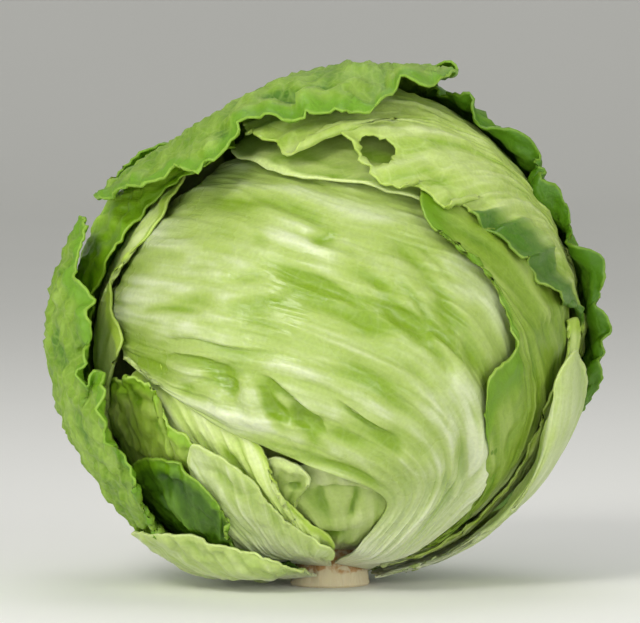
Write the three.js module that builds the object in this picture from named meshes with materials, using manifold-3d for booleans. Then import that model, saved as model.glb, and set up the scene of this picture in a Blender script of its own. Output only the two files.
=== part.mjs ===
// Iceberg lettuce head: a cut stem, a dense heart and the separate leaves that wrap it.
// Millimetres, +Z up, +X to the right, -Y to the front. The origin is the centre of the stem's cut face.
import * as THREE from "three";
import { mergeVertices } from "three/addons/utils/BufferGeometryUtils.js";
import Module from "manifold-3d";

// Driving dimensions
const GIRTH = new THREE.Vector3(82.6, 80, 78.3); // half width, half depth and half height of the head
const CENTRE_Z = 79.2; // height of the head's middle above the cut face
const BLADE = 0.9; // thickness of a leaf
const HEART_DEPTH = 24; // how far the heart lies below the girth
const STEM_RADIUS = 12.2; // cut face
const STEM_NECK_RADIUS = 9; // where the stem meets the heart
const ROOT_LATITUDE = -80; // leaves leave the stem at this latitude, -90 being the stem's own axis
// Swells and hollows of the whole head: longitude, latitude, height and spread
const SWELLS = [
  [-90, -52, 6.5, 0.2], [-92, 48, -5, 0.16], [70, 72, 2.5, 0.12], [150, -25, 2, 0.2], [45, 5, 1.2, 0.15],
  [5, -18, 7, 0.3],
];
const SWELL_FADE = [-0.985, -0.88]; // they fade out towards the stem between these shares of the half height
const GAP = 0.3; // between pieces that touch

// Shape of every leaf
const SIDE_SHARE = 0.25; // share of the outline, at each end, along which a leaf thins out into its sides
const FRILL_START = 0.72; // share of a vein where the waves of the edge begin
const SCALLOP = 0.012; // share of a vein that the edge draws back between waves, per millimetre of wave
const CURL_START = 0.86; // share of a vein where the edge begins to roll outwards, unless a leaf has its own
const LEAST_ROLL = 0.01; // a smaller roll counts as none
const PLAIN_WAVE = 0.3; // height of the waves where the table gives none
const SLOPE_STEP = 0.004; // step for slopes across and along a leaf
const COARSER_BELOW = [0.89, 0.49, 0.19]; // shares of a vein where facets double in width towards the stem
const WELD = 1e-3; // vertices nearer than this are one

// Heart and stem
const HEART_FACETS = [26, 16]; // around and along
const FOLDS = 5; // low folds around the heart
const FOLD_HEIGHT = 0.9;
const FOLD_TWIST = 2.2; // turn of the folds, in radians per half height
const STEM_FACETS = 32;
const CUT_CHAMFER = 0.8; // around the cut face
const STEM_SHOULDER = 7; // height where the stem begins to narrow
const TEAR_FACETS = [10, 8];

const LEAF_ROUGHNESS = 0.45;
const STEM_ROUGHNESS = 0.7;
const TAN = 0xd9b48c;

const PALE = 0xcfe09a;
const FRESH = 0xb4d070;
const GREEN = 0x7fb03a;
const DEEP = 0x5f9428;

// The leaves, from the inside out. Angles are in degrees: longitude 0 is the front and 90 the right, and
// latitude -90 is the stem. Depths are millimetres below the girth.
//   root     middle longitude and half spread at the stem, then the depth of the root's left and right end
//   depth    of the leaf's body
//   courses  points that the veins pass on their way from the stem, course by course, each from the leaf's
//            left to its right: longitude, latitude, depth; a leaf without courses has straight veins
//   edge     the outline from the root's left end over the tip to its right end:
//            longitude, latitude, depth, height of its waves, degrees that it rolls outwards
//   waves    number of waves along the edge
//   curl     share of a vein where the edge begins to roll
//   rows     rows of facets from stem to edge, and steps: facets along the edge
const LEAVES = [
  {
    name: "heart_leaf_right",
    colour: FRESH,
    root: [16, 20, 9.9, 9.6],
    depth: 14,
    waves: 5,
    rows: 8,
    steps: 32,
    courses: [
      [[-6, -74, 11], [-16, -62, 15], [-4, -54, 13.6], [10, -52, 12.2], [24, -56, 11.8], [32, -66, 10.8],
      [38, -75, 10.2]],
    ],
    edge: [
      [-8, -70, 12.6], [-22, -58, 16.8], [-24, -47, 18], [-14, -38, 18.6], [2, -34, 18.4],
      [18, -37, 18], [28, -43, 17.4], [34, -52, 15.6], [37, -62, 12.8], [38, -70, 11.4],
    ],
  },
  {
    name: "heart_leaf_left",
    colour: PALE,
    root: [-20, 12, 12, 8.4],
    depth: 12,
    waves: 4,
    rows: 8,
    steps: 32,
    courses: [
      [[-30, -73, 13.2], [-32, -60, 15.2], [-24, -52, 15.2], [-18, -54, 14], [-14, -64, 11.4],
      [-10, -74, 9.2]],
    ],
    edge: [
      [-31, -68, 14.4], [-34, -54, 16.4], [-30, -43, 16.8], [-22, -35, 16.8], [-14, -32, 16.4],
      [-8, -34, 16, 0.3, 20], [-6, -38, 15.6, 0.3, 25], [-9, -43, 16.2], [-14, -50, 15.6],
      [-13, -60, 12.4], [-11, -70, 10],
    ],
  },
  {
    name: "under_leaf",
    colour: FRESH,
    root: [-22, 20, 10.4, 6.5],
    depth: 15,
    waves: 7,
    rows: 8,
    steps: 32,
    courses: [
      [[-42, -73, 11.6], [-46, -58, 14.9], [-40, -44, 14.8], [-28, -44, 13.8], [-16, -55, 11.6],
      [-6, -66, 9], [-2, -74, 7.3]],
    ],
    edge: [
      [-44, -68, 13.4], [-54, -50, 15.4], [-62, -32, 16], [-66, -16, 17], [-52, -8, 17.2],
      [-36, -12, 17.2], [-24, -22, 16.6], [-18, -30, 15.4], [-17, -37, 14.6], [-15, -44, 14.2],
      [-10, -51, 13], [-4, -56, 11.8], [2, -61, 10.2], [2, -70, 8.4],
    ],
  },
  {
    name: "front_wrap",
    colour: PALE,
    root: [33, 27, 5.6, 3],
    depth: 16,
    waves: 4,
    rows: 15,
    steps: 32,
    courses: [
      [[13, -61, 8.6], [31, -61, 6], [47, -60, 6.4], [62, -60, 10.6]],
      [[19, -46, 12.6], [38, -36, 13.6], [60, -26, 15], [82, -16]],
      [[4, -36, 13.4], [20, -14, 15.4], [44, 12, 16.4], [74, 42, 17.6]],
      [[-17, -28, 13.8], [-14, 2, 15.8], [0, 32, 16.8], [22, 66, 18]],
    ],
    edge: [
      [-53, -10, 14.6], [-72, -2, 15.8], [-90, 20], [-84, 46, 16.6], [-40, 68, 17.8],
    ],
  },
  {
    name: "crown_under_leaf",
    colour: FRESH,
    root: [142, 28, 10.4, 10.4],
    depth: 13.8,
    waves: 9,
    rows: 12,
    steps: 40,
    courses: [
      [[120, -73, 11], [108, -36, 14.4], [98, 6], [130, 20], [152, -30], [164, -73, 11]],
    ],
    edge: [
      [120, -64, 11.5], [104, -30], [92, 4], [72, 26], [50, 31, 14.2], [36, 33, 14.2], [24, 38],
      [8, 43], [-14, 46], [-36, 53], [-64, 60], [-120, 72], [170, 66], [166, 28], [164, -24],
      [164, -64, 11.5],
    ],
  },
  {
    name: "left_inner_leaf",
    colour: FRESH,
    root: [-62, 18, 8, 7],
    depth: 12.6,
    waves: 6,
    rows: 8,
    steps: 32,
    edge: [
      [-78, -66, 11], [-92, -48, 13.6], [-94, -30, 14.6], [-84, -20, 14.6], [-71, -13, 14],
      [-61, -13, 12.6, 0.6], [-57, -10, 11.8, 0.8, 20], [-51, -9, 11.6, 0.8, 25],
      [-46, -12, 12, 0.6, 15], [-47, -17, 12.6, 0.4], [-43, -23, 12.6, 0.5], [-38, -27, 12.6, 0.4],
      [-36, -36, 12.6], [-38, -50, 11.2], [-44, -66, 8.6],
    ],
  },
  {
    name: "left_wrap",
    colour: PALE,
    root: [-114, 24, 7, 7],
    depth: 11.2,
    waves: 9,
    rows: 11,
    steps: 48,
    courses: [
      [[-137, -75, 7.6], [-138, -48, 11.4], [-134, -16, 12], [-108, 10], [-92, -18], [-94, -48, 10.4],
      [-92, -75, 7.6]],
    ],
    edge: [
      [-136, -66, 9.6], [-150, -30, 11.8], [-152, 20, 11.8], [-120, 56], [-84, 54, 11.4],
      [-68, 40, 12.8], [-66, 33, 13.6], [-67, 26, 13.8], [-74, 19, 13.6], [-79, 14, 13.4],
      [-77, 10, 13.2], [-71, 5, 13.2], [-64, 1, 13.2], [-62, -4, 13], [-66, -9, 12.6], [-77, -18, 11.6],
      [-88, -44, 11], [-96, -66, 9],
    ],
  },
  {
    name: "right_wrap",
    colour: FRESH,
    root: [87, 21, 6.6, 8],
    depth: 11,
    waves: 10,
    rows: 11,
    steps: 48,
    courses: [
      [[68, -75, 6.8], [63, -54, 8.3], [66, -26], [78, 2], [94, -14], [100, -48, 9.6], [106, -75, 8]],
    ],
    edge: [
      [67, -70, 7], [64, -58, 8.2], [60, -44, 10], [54, -33, 11.8], [47, -27, 12.4], [41, -21, 12.6],
      [39, -15, 12.4], [39, -10, 12.2], [43, -7, 12], [47, -4, 11.8], [45, 4, 11.8], [42, 12, 12],
      [38, 18, 12.2], [33, 23, 12.4], [27, 28, 12.4], [26, 36, 12.2], [40, 50, 11.6], [60, 60],
      [92, 60], [114, 40], [118, 6], [110, -34], [100, -66, 9],
    ],
  },
  {
    name: "left_rib_leaf",
    colour: PALE,
    root: [-20, 22, 5, 4.8],
    depth: 9.6,
    waves: 6,
    rows: 8,
    steps: 32,
    courses: [
      [[-43, -74, 5.4], [-44, -63, 6.3], [-36, -52, 9], [-26, -52, 10], [-12, -62, 7.8], [0, -74, 5.6]],
    ],
    edge: [
      [-46, -70, 5.2], [-50, -58, 7.4], [-46, -46, 9.8], [-42, -36, 10.8], [-38, -28, 11],
      [-34, -27, 11], [-28, -31, 11.4], [-22, -38, 12], [-19, -45, 11.8], [-15, -51, 11],
      [-8, -57, 9.4], [1, -61, 8], [2, -70, 6.2],
    ],
  },
  {
    name: "right_slip_leaf",
    colour: GREEN,
    root: [88, 10, 3.6, 4.4],
    depth: 7.8,
    waves: 6,
    rows: 8,
    steps: 32,
    courses: [
      [[79, -75, 4.2], [76, -58, 5.6], [75, -38, 7.8], [80, -34, 7.6], [87, -44, 7.2], [92, -60, 6.2],
      [97, -75, 4.8]],
    ],
    edge: [
      [74, -70, 4.8], [73, -58, 6.4], [71, -46, 7.8], [69, -34, 9], [68, -26, 9.6], [66, -19, 9.8],
      [68, -13, 9.8], [73, -8, 9.6], [76, -3, 9.4], [76, 2, 9.4], [83, 2, 8.6], [90, -5, 8],
      [93, -16, 7.8], [94, -32, 7.4], [95, -50, 6.8], [96, -68, 5.4],
    ],
  },
  {
    name: "left_green_leaf",
    colour: GREEN,
    root: [-51, 19, 4.4, 2.8],
    depth: 7.6,
    waves: 7,
    rows: 8,
    steps: 32,
    courses: [
      [[-69, -74, 4.8], [-74, -64, 6.4], [-64, -52, 7.4], [-50, -50, 6.6], [-42, -60, 4.5],
      [-32, -74, 3.4]],
    ],
    edge: [
      [-72, -70, 5.4], [-88, -56, 7.8], [-82, -42, 9.4], [-64, -33, 9.6], [-48, -31, 9.6],
      [-40, -34, 9.4], [-35, -40, 9], [-35, -47, 8.2], [-39, -56, 5.9], [-32, -68, 4.2],
    ],
  },
  {
    name: "top_right_leaf",
    colour: FRESH,
    root: [118, 20, 3.4, 4.4],
    depth: 6.2,
    waves: 24,
    rows: 12,
    steps: 80,
    courses: [
      [[98, -74, 3.8], [105, -42, 5.6], [102, -4, 6.2], [96, 16, 7.4], [118, 4, 6.8], [130, -38],
      [134, -73, 4.4]],
      [[98, -71, 4.2], [103, -18, 5.8], [78, 27, 9], [62, 58, 7.6], [130, 46], [139, -16],
      [134, -70, 4.8]],
    ],
    edge: [
      [98, -68, 4.4], [104, -46, 5.6], [105, -24, 6], [100, -8, 6], [93, 2, 6.2, 0.6], [84, 5, 7, 0.9],
      [76, 6, 8.6, 1.2], [66, 7, 9.4, 1.4], [61, 10, 9.4, 1.5], [57, 12, 9.4, 1.5], [56, 16, 9.4, 1.5],
      [53, 18, 9.4, 1.5], [49, 18, 9.4, 1.5], [47, 22, 9.4, 1.4], [44, 26, 9.6, 1.2], [41, 26, 9.6, 1],
      [38, 30, 9.6, 1], [38, 32, 9.4, 0.7], [33, 33, 9.2, 0.5], [30, 32, 9.2, 0.5], [28, 36, 9],
      [23, 38, 9], [18, 37, 9], [13, 40, 9], [9, 46, 8.4], [5, 53, 7.6, 0.4], [0, 57, 7, 0.5],
      [-5, 55, 6.8, 0.6], [-10, 51, 7, 0.6], [-14, 47, 7.4, 0.5], [-18, 49, 7.2, 0.6],
      [-23, 52, 7, 0.5], [-34, 55, 6.4], [-50, 62], [-80, 74], [160, 80], [150, 56], [146, 20],
      [142, -30], [134, -66, 5],
    ],
    hole: { at: [16.5, 49], radius: 5.8 },
  },
  {
    name: "left_back_leaf",
    colour: GREEN,
    root: [-142, 24, 4.8, 5],
    depth: 6.4,
    waves: 13,
    rows: 11,
    steps: 48,
    courses: [
      [[-165, -75, 5.2], [-168, -48], [-168, -12], [-138, 16], [-116, -10, 5.8], [-118, -44, 6.4],
      [-119, -75, 5.2]],
      [[-165, -72, 5.4], [-172, -38], [-172, 14], [-140, 50, 5], [-103, 34, 0.6], [-97, 14, 1.8],
      [-109, -16, 5.4], [-120, -71, 5.8]],
    ],
    edge: [
      [-164, -66, 5.6], [-174, -34], [-175, 14], [-168, 54], [-130, 66, 6.8], [-92, 68, 7.8],
      [-62, 63, 9.6], [-50, 57, 11], [-56, 51, 11.6], [-66, 46, 11.6], [-74, 40, 11.4, 0.4],
      [-77, 34, 11.2, 0.5], [-77, 27, 11, 0.5], [-77, 20, 10.8, 0.5], [-80, 14, 10.4, 0.5],
      [-84, 8, 10, 0.4], [-88, 0, 9.2], [-94, -8, 8.4], [-102, -18, 7.6], [-108, -32, 7],
      [-121, -66, 6.2],
    ],
  },
  {
    name: "right_rib_leaf",
    colour: PALE,
    root: [96, 22, 0, 0.4],
    depth: 2,
    waves: 9,
    rows: 8,
    steps: 32,
    edge: [
      [74, -70, 1.4], [73, -58, 3.2], [70, -44, 5.2], [67, -33, 6.2], [64, -25, 6.8], [62, -17, 7],
      [62, -11, 6.8], [65, -6, 6.2], [71, -5, 5, 0.6], [80, -10, 3.6, 0.8], [90, -18, 3.4, 0.8],
      [96, -28, 3], [102, -42], [110, -56, 2], [118, -70, 1.2],
    ],
  },
  {
    name: "left_outer_leaf",
    colour: GREEN,
    root: [-94, 26, 3, 3],
    depth: 2.4,
    waves: 16,
    rows: 11,
    steps: 80,
    courses: [
      [[-120, -75, 3], [-126, -58], [-120, -34, 1.6], [-100, -30, 0.4], [-84, -38, 1.5], [-77, -58, 3],
      [-71, -75, 3]],
      [[-121, -71, 2.8], [-136, -48], [-134, -14, 1.4], [-96, -3, -2.4], [-74, -14, -1], [-66, -46, 2.6],
      [-73, -71, 3]],
    ],
    edge: [
      [-120, -66, 2.8], [-140, -44], [-148, -16, 3], [-136, 6, 3, 0.8], [-116, 12, 1.6, 0.8],
      [-100, 13, -1, 0.8], [-94, 19, -1.4, 0.6], [-89, 24.5, -2.8, 0.5], [-80, 25, -2.6, 0.5],
      [-74, 22.5, -2.2, 0.5], [-73, 18, -1.4, 0.6], [-70, 13, -0.6, 0.6], [-63, 8, 0.6, 0.6],
      [-60, 2, 2, 0.5], [-62, -2, 4, 0.4], [-60, -5, 1, 0.4, 10], [-58, -11, 0, 0.4, 20],
      [-56, -8, 1, 0.4], [-52, -10, 0, 0.4, 20], [-51, -16, -0.5, 0.5, 30], [-52, -22, 0.4, 0.5, 20],
      [-54, -27, 2, 0.5], [-52, -32, 1.6, 0.5, 15], [-56, -36, 2.4, 0.5], [-60, -42, 3.2, 0.5],
      [-66, -50, 3.6], [-76, -60, 3.4], [-74, -70, 3],
    ],
  },
  {
    name: "right_outer_leaf",
    colour: DEEP,
    root: [145, 18, 0.8, 2.2],
    depth: 1.6,
    waves: 20,
    curl: 0.92,
    rows: 11,
    steps: 80,
    courses: [
      [[127, -75, 0.8], [120, -50, 1.2], [108, -20, 1.2], [110, 14, 3.8], [138, 0], [150, -45, 2.2],
      [160, -75, 2.5]],
    ],
    edge: [
      [128, -68, 0.8], [122, -46, 1.2], [111, -28, 0.4, 0.4], [101, -18, 1.4, 0.6, 20],
      [93, -13, 2, 1, 55], [90, -9, 2, 1, 55], [89, -4, 2, 1, 20], [88, 0, 2.2, 1, 55],
      [88, 3, 2.4, 1, 64], [89, 5.5, 3.6, 1, 20], [89, 8, 4, 1, 40], [87, 11, 4, 1.2, 80],
      [87, 14.5, 4, 1.2, 112], [87, 18, 4, 1, 112], [88, 20.5, 5.4, 1, 20], [88, 23, 6, 1, 35],
      [86, 28, 6, 1.2, 46], [84, 34, 6, 1.2, 55], [82, 39, 6, 1.2, 60], [81, 43, 6, 1.2, 65],
      [79, 47, 5, 1.2, 95], [76, 51, 5, 1.2, 45], [74, 56, 4.8, 0.6, 8], [72, 61, 3.6, 0.8, 40],
      [86, 66, 2.6, 0.6], [116, 66], [146, 54, 2], [155, 26, 2.2], [155, -24, 2.2], [157, -66, 3.4],
    ],
  },
  {
    name: "bottom_left_rib",
    colour: PALE,
    root: [-52, 36, -0.8, 1.6],
    depth: 0.2,
    waves: 5,
    rows: 6,
    steps: 32,
    edge: [
      [-92, -72, -0.6], [-102, -62, -0.6], [-96, -52, 0.4], [-80, -47, 0.4], [-66, -47, 0.5],
      [-55, -48, 2.4, 0.4], [-46, -51, 4.1, 0.5], [-36, -55, 3.9, 0.4], [-25, -60, 3.8],
      [-16, -68, 2.6],
    ],
  },
  {
    name: "top_outer_leaf",
    colour: GREEN,
    root: [180, 20, -1, -1],
    depth: -0.8,
    waves: 22,
    rows: 13,
    steps: 80,
    courses: [
      [[157, -75, -1], [159, -36], [160, 20], [178, 54], [-166, 24], [-162, -38], [-158, -75, -1]],
      [[155, -71, -1], [157, -20], [152, 34], [100, 80, 0], [-108, 60, 2.6], [-142, 30, -0.2],
      [-156, -22], [-158, -71, -1]],
    ],
    edge: [
      [154, -68, -1.3], [156, -30], [154, 10], [146, 44, -0.8, 0.8], [122, 68, -1.6, 1],
      [97, 68, -3, 0.6], [82, 64, -4.6, 0.3], [66, 63.5, -5.2, 0.3], [52, 62, -5, 0.3],
      [39, 60, -4, 0.4], [34, 63, -3.4, 0.5], [24, 60, -2, 0.6], [15, 55, -1, 0.8], [8, 54, -0.5, 0.8],
      [-3, 55, 0, 0.8], [-17, 54, 0, 0.8], [-30, 52, 0, 1], [-33, 48, 0, 1], [-34, 42, 0, 0.8],
      [-36, 37, 0.4, 0.8], [-41, 37, 0.6, 0.8], [-48, 40, 1, 1], [-54, 38, 0.6, 0.8], [-57, 34, 0, 0.6],
      [-66, 33, -1, 0.6], [-76, 30, -2.4, 0.6], [-87, 29.5, -3, 0.6], [-100, 34, -2.4, 0.8],
      [-124, 46, -1, 1], [-150, 10], [-158, -30], [-158, -68, -1],
    ],
  },
];

const wasm = await Module();
wasm.setup();

const radians = THREE.MathUtils.degToRad;
const smooth = (from, to, x) => THREE.MathUtils.smoothstep(x, from, to);

// Unit direction from the head's middle.
function direction(longitude, latitude) {
  const lon = radians(longitude);
  const lat = radians(latitude);
  return new THREE.Vector3(Math.cos(lat) * Math.sin(lon), -Math.cos(lat) * Math.cos(lon), Math.sin(lat));
}

const swells = SWELLS.map(([lon, lat, height, spread]) => [direction(lon, lat), height, spread]);

// Outward normal of the head's ellipsoid in a direction.
function outward(dir) {
  return dir.clone().divide(GIRTH).normalize();
}

// Swell of the head in a direction, shared by every layer so that they stay apart.
function swell(dir) {
  const rise = swells.map(([middle, height, spread]) => height * Math.exp((dir.dot(middle) - 1) / spread));
  return smooth(...SWELL_FADE, dir.z) * rise.reduce((sum, part) => sum + part);
}

// Point in a direction, at a depth below the girth.
function onHead(dir, depth) {
  const point = dir.clone().multiply(GIRTH);
  point.z += CENTRE_Z;
  return point.addScaledVector(outward(dir), swell(dir) - depth);
}

function curveThrough(points) {
  return new THREE.CatmullRomCurve3(points, false, "catmullrom");
}

// Curves along one course of a leaf: the directions that it runs through, and its depth, waves and roll
// as x, y and z.
function courseOf(leaf, points) {
  const path = points.map(([lon, lat]) => direction(lon, lat));
  const trim = points.map(
    ([, , depth = leaf.depth, wave = PLAIN_WAVE, roll = 0]) => new THREE.Vector3(depth, wave, radians(roll)),
  );
  return { path: curveThrough(path), trim: curveThrough(trim) };
}

function outlineOf(leaf) {
  return {
    edge: courseOf(leaf, leaf.edge),
    courses: (leaf.courses ?? []).map((points) => courseOf(leaf, points)),
  };
}

// Stops of one vein from the stem to the edge: a direction and a depth each.
function veinStops(leaf, outline, u) {
  const [middle, spread, depthLeft, depthRight] = leaf.root;
  const root = direction(middle + spread * (2 * u - 1), ROOT_LATITUDE);
  const rootDepth = THREE.MathUtils.lerp(depthLeft, depthRight, u);
  const s = outline.edge.path.getUtoTmapping(u);
  const edge = outline.edge.path.getPoint(s).normalize();
  const edgeDepth = outline.edge.trim.getPoint(s).x;
  let between = outline.courses.map(({ path, trim }) => {
    return [path.getPoint(u).normalize(), trim.getPoint(u).x];
  });
  if (!between.length) {
    const inside = smooth(0, SIDE_SHARE, u) * smooth(0, SIDE_SHARE, 1 - u);
    between = [1 / 3, 2 / 3].map((share) => {
      const straight = THREE.MathUtils.lerp(rootDepth, edgeDepth, share);
      const depth = THREE.MathUtils.lerp(straight, leaf.depth, inside);
      return [root.clone().lerp(edge, share).normalize(), depth];
    });
  }
  return [[root, rootDepth], ...between, [edge, edgeDepth]];
}

// Point of a leaf before its edge waves and rolls: u is the share of the outline's length from its left
// end, t the share of a vein from the stem.
function bladePoint(leaf, outline, u, t) {
  const stops = veinStops(leaf, outline, u);
  const dir = curveThrough(stops.map(([stop]) => stop)).getPoint(t).normalize();
  const depth = curveThrough(stops.map(([, deep]) => new THREE.Vector3(deep, 0, 0))).getPoint(t).x;
  return { point: onHead(dir, depth), normal: outward(dir) };
}

// Point of the finished leaf, with its edge waved and rolled outwards.
function leafPoint(leaf, outline, u, t) {
  const { y: wave, z: roll } = outline.edge.trim.getPoint(outline.edge.path.getUtoTmapping(u));
  const phase = 2 * Math.PI * leaf.waves * u;
  const ripple = wave * smooth(FRILL_START, 1, t) * Math.sin(phase);
  const reachShare = 1 - SCALLOP * wave * (0.5 + 0.5 * Math.cos(phase));
  const { point, normal } = bladePoint(leaf, outline, u, t * reachShare);
  const curl = leaf.curl ?? CURL_START;
  if (t <= curl || roll < LEAST_ROLL) return point.addScaledVector(normal, ripple);
  const hinge = bladePoint(leaf, outline, u, curl).point;
  const along = bladePoint(leaf, outline, u, reachShare).point.sub(hinge);
  const reach = along.length();
  along.divideScalar(reach);
  const up = normal.clone().addScaledVector(along, -normal.dot(along)).normalize();
  const angle = (roll * (t - curl)) / (1 - curl);
  hinge.addScaledVector(along, (reach * Math.sin(angle)) / roll - ripple * Math.sin(angle));
  return hinge.addScaledVector(up, (reach * (1 - Math.cos(angle))) / roll + ripple * Math.cos(angle));
}

// The leaf's outer face at (u, t) and its inner face one blade thickness below.
function facesAt(leaf, outline, u, t) {
  const { clamp } = THREE.MathUtils;
  const at = (a, b) => leafPoint(leaf, outline, clamp(a, 0, 1), clamp(b, 0, 1));
  const across = at(u + SLOPE_STEP, t).sub(at(u - SLOPE_STEP, t));
  const along = at(u, t + SLOPE_STEP).sub(at(u, t - SLOPE_STEP));
  const outer = at(u, t);
  const inner = outer.clone().addScaledVector(across.cross(along).normalize(), -BLADE);
  return [outer, inner];
}

// Facets along one row: the edge has them all, and each stretch nearer the stem half as many.
function stepsAt(leaf, t) {
  const halvings = COARSER_BELOW.filter((share) => t <= share).length;
  return leaf.steps / 2 ** halvings;
}

// Where the columns of facets stand along the outline: between an even spacing and a closer one where the
// outline is detailed.
function columnsOf(leaf, outline) {
  const lengths = outline.edge.path.getLengths(leaf.steps);
  return lengths.map((length, i) => (i / leaf.steps + length / lengths[leaf.steps]) / 2);
}

// Triangles between two rows of vertices, the upper with as many steps as the lower or twice as many.
function strip(lower, upper) {
  const triangles = [];
  const ratio = (upper.length - 1) / (lower.length - 1);
  for (let i = 0; i + 1 < lower.length; i++) {
    const [a, b] = [lower[i], lower[i + 1]];
    const ups = upper.slice(i * ratio, (i + 1) * ratio + 1);
    triangles.push([a, b, ups[ups.length - 1]]);
    for (let k = ups.length - 1; k > 0; k--) triangles.push([a, ups[k], ups[k - 1]]);
  }
  return triangles;
}

// Closed geometry of one leaf: two faces with the same triangles, and the rim between them.
function leafGeometry(leaf) {
  const outline = outlineOf(leaf);
  const columns = columnsOf(leaf, outline);
  const positions = [];
  const rows = [];
  let count = 0;
  for (let r = 0; r <= leaf.rows; r++) {
    const t = r / leaf.rows;
    const steps = stepsAt(leaf, t);
    const row = [];
    for (let i = 0; i <= steps; i++) {
      const u = columns[(i * leaf.steps) / steps];
      const [outer, inner] = facesAt(leaf, outline, u, t);
      positions.push(...outer, ...inner);
      row.push(count);
      count += 1;
    }
    rows.push(row);
  }
  const outer = (v) => 2 * v;
  const inner = (v) => 2 * v + 1;
  const index = [];
  for (let r = 0; r < leaf.rows; r++) {
    for (const [a, b, c] of strip(rows[r], rows[r + 1])) {
      index.push(outer(a), outer(b), outer(c), inner(a), inner(c), inner(b));
    }
  }
  const left = rows.map((row) => row[0]);
  const right = rows.map((row) => row[row.length - 1]);
  const top = rows[leaf.rows];
  const rim = [...rows[0], ...right.slice(1), ...top.slice(0, -1).reverse(), ...left.slice(0, -1).reverse()];
  for (let i = 0; i + 1 < rim.length; i++) {
    const [a, b] = [rim[i], rim[i + 1]];
    index.push(outer(a), inner(a), inner(b), outer(a), inner(b), outer(b));
  }
  const geometry = new THREE.BufferGeometry();
  geometry.setAttribute("position", new THREE.Float32BufferAttribute(positions, 3));
  return geometry.setIndex(index);
}

function solidOf(geometry) {
  const bare = geometry.clone();
  bare.deleteAttribute("normal");
  bare.deleteAttribute("uv");
  const merged = mergeVertices(bare, WELD);
  const vertProperties = new Float32Array(merged.attributes.position.array);
  const triVerts = new Uint32Array(merged.index.array);
  return new wasm.Manifold(new wasm.Mesh({ numProp: 3, vertProperties, triVerts }));
}

function geometryOf(solid) {
  const mesh = solid.getMesh();
  const geometry = new THREE.BufferGeometry();
  geometry.setAttribute("position", new THREE.Float32BufferAttribute(mesh.vertProperties, 3));
  return geometry.setIndex(new THREE.BufferAttribute(mesh.triVerts, 1));
}

// A leaf with a round tear through its blade.
function tornLeafGeometry(leaf) {
  const tear = new THREE.SphereGeometry(leaf.hole.radius, ...TEAR_FACETS);
  const middle = onHead(direction(...leaf.hole.at), leaf.depth);
  tear.translate(middle.x, middle.y, middle.z);
  return geometryOf(solidOf(leafGeometry(leaf)).subtract(solidOf(tear)));
}

// Heart: a closed ball whose surface carries the low folds of the tight leaves in it.
function heartGeometry() {
  const ball = new THREE.SphereGeometry(1, ...HEART_FACETS).rotateX(Math.PI / 2);
  const position = ball.getAttribute("position");
  const dir = new THREE.Vector3();
  for (let i = 0; i < position.count; i++) {
    dir.fromBufferAttribute(position, i).normalize();
    const turn = Math.atan2(dir.x, -dir.y);
    const upright = Math.hypot(dir.x, dir.y);
    const fold = FOLD_HEIGHT * upright * Math.sin(FOLDS * turn + FOLD_TWIST * dir.z);
    const point = onHead(dir, HEART_DEPTH - fold);
    position.setXYZ(i, point.x, point.y, point.z);
  }
  return ball;
}

// Stem: a short stub with a flat cut face, which narrows up to the heart.
function stemGeometry() {
  const lowest = onHead(new THREE.Vector3(0, 0, -1), HEART_DEPTH).z - GAP;
  const profile = [
    [0, 0], [STEM_RADIUS - CUT_CHAMFER, 0], [STEM_RADIUS, CUT_CHAMFER],
    [STEM_RADIUS - CUT_CHAMFER, STEM_SHOULDER], [STEM_NECK_RADIUS, lowest], [0, lowest],
  ];
  const outline = profile.map(([r, z]) => new THREE.Vector2(r, z));
  return new THREE.LatheGeometry(outline, STEM_FACETS).rotateX(Math.PI / 2);
}

function piece(name, geometry, color, roughness) {
  const mesh = new THREE.Mesh(geometry, new THREE.MeshStandardMaterial({ color, roughness, metalness: 0 }));
  mesh.name = name;
  return mesh;
}

const lettuce = new THREE.Group();
lettuce.name = "iceberg_lettuce";
lettuce.add(piece("stem", stemGeometry(), TAN, STEM_ROUGHNESS));
lettuce.add(piece("heart", heartGeometry(), PALE, LEAF_ROUGHNESS));
for (const leaf of LEAVES) {
  const geometry = leaf.hole ? tornLeafGeometry(leaf) : leafGeometry(leaf);
  lettuce.add(piece(leaf.name, geometry, leaf.colour, LEAF_ROUGHNESS));
}

export default lettuce;
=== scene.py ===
"""Iceberg lettuce head: fine leaves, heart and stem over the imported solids, with floor, lights and camera."""

import logging
import math
from dataclasses import dataclass
from enum import Enum
from typing import Any

import bmesh
import bpy
import numpy as np
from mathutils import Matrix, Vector


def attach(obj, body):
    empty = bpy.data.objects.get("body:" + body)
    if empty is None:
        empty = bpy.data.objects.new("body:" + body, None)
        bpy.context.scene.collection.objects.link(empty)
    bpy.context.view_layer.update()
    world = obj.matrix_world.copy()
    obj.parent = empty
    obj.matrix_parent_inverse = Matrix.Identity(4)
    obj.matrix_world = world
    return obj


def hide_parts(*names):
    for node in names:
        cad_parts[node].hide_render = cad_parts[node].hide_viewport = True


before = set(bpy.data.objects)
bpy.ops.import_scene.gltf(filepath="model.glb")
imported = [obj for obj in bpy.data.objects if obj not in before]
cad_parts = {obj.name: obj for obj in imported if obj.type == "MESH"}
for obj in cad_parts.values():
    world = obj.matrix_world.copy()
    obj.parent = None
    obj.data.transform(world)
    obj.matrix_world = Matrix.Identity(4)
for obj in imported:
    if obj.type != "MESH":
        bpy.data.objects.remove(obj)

LOG = logging.getLogger("lettuce")
MM = 0.001
BODY = "root"
TURN = 2.0 * math.pi
WANDER_WAVES = 5
WANDER_SPREAD = 2.4
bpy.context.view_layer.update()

Array = np.ndarray
Colour = tuple[float, float, float]
Table = tuple[tuple[float, ...], ...]


class Slot(Enum):
    """Material slot names that each leaf carries."""

    STEM = "stem"
    HEART = "heart"
    PALE = "pale_leaf"
    FRESH = "fresh_leaf"
    GREEN = "green_leaf"


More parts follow.
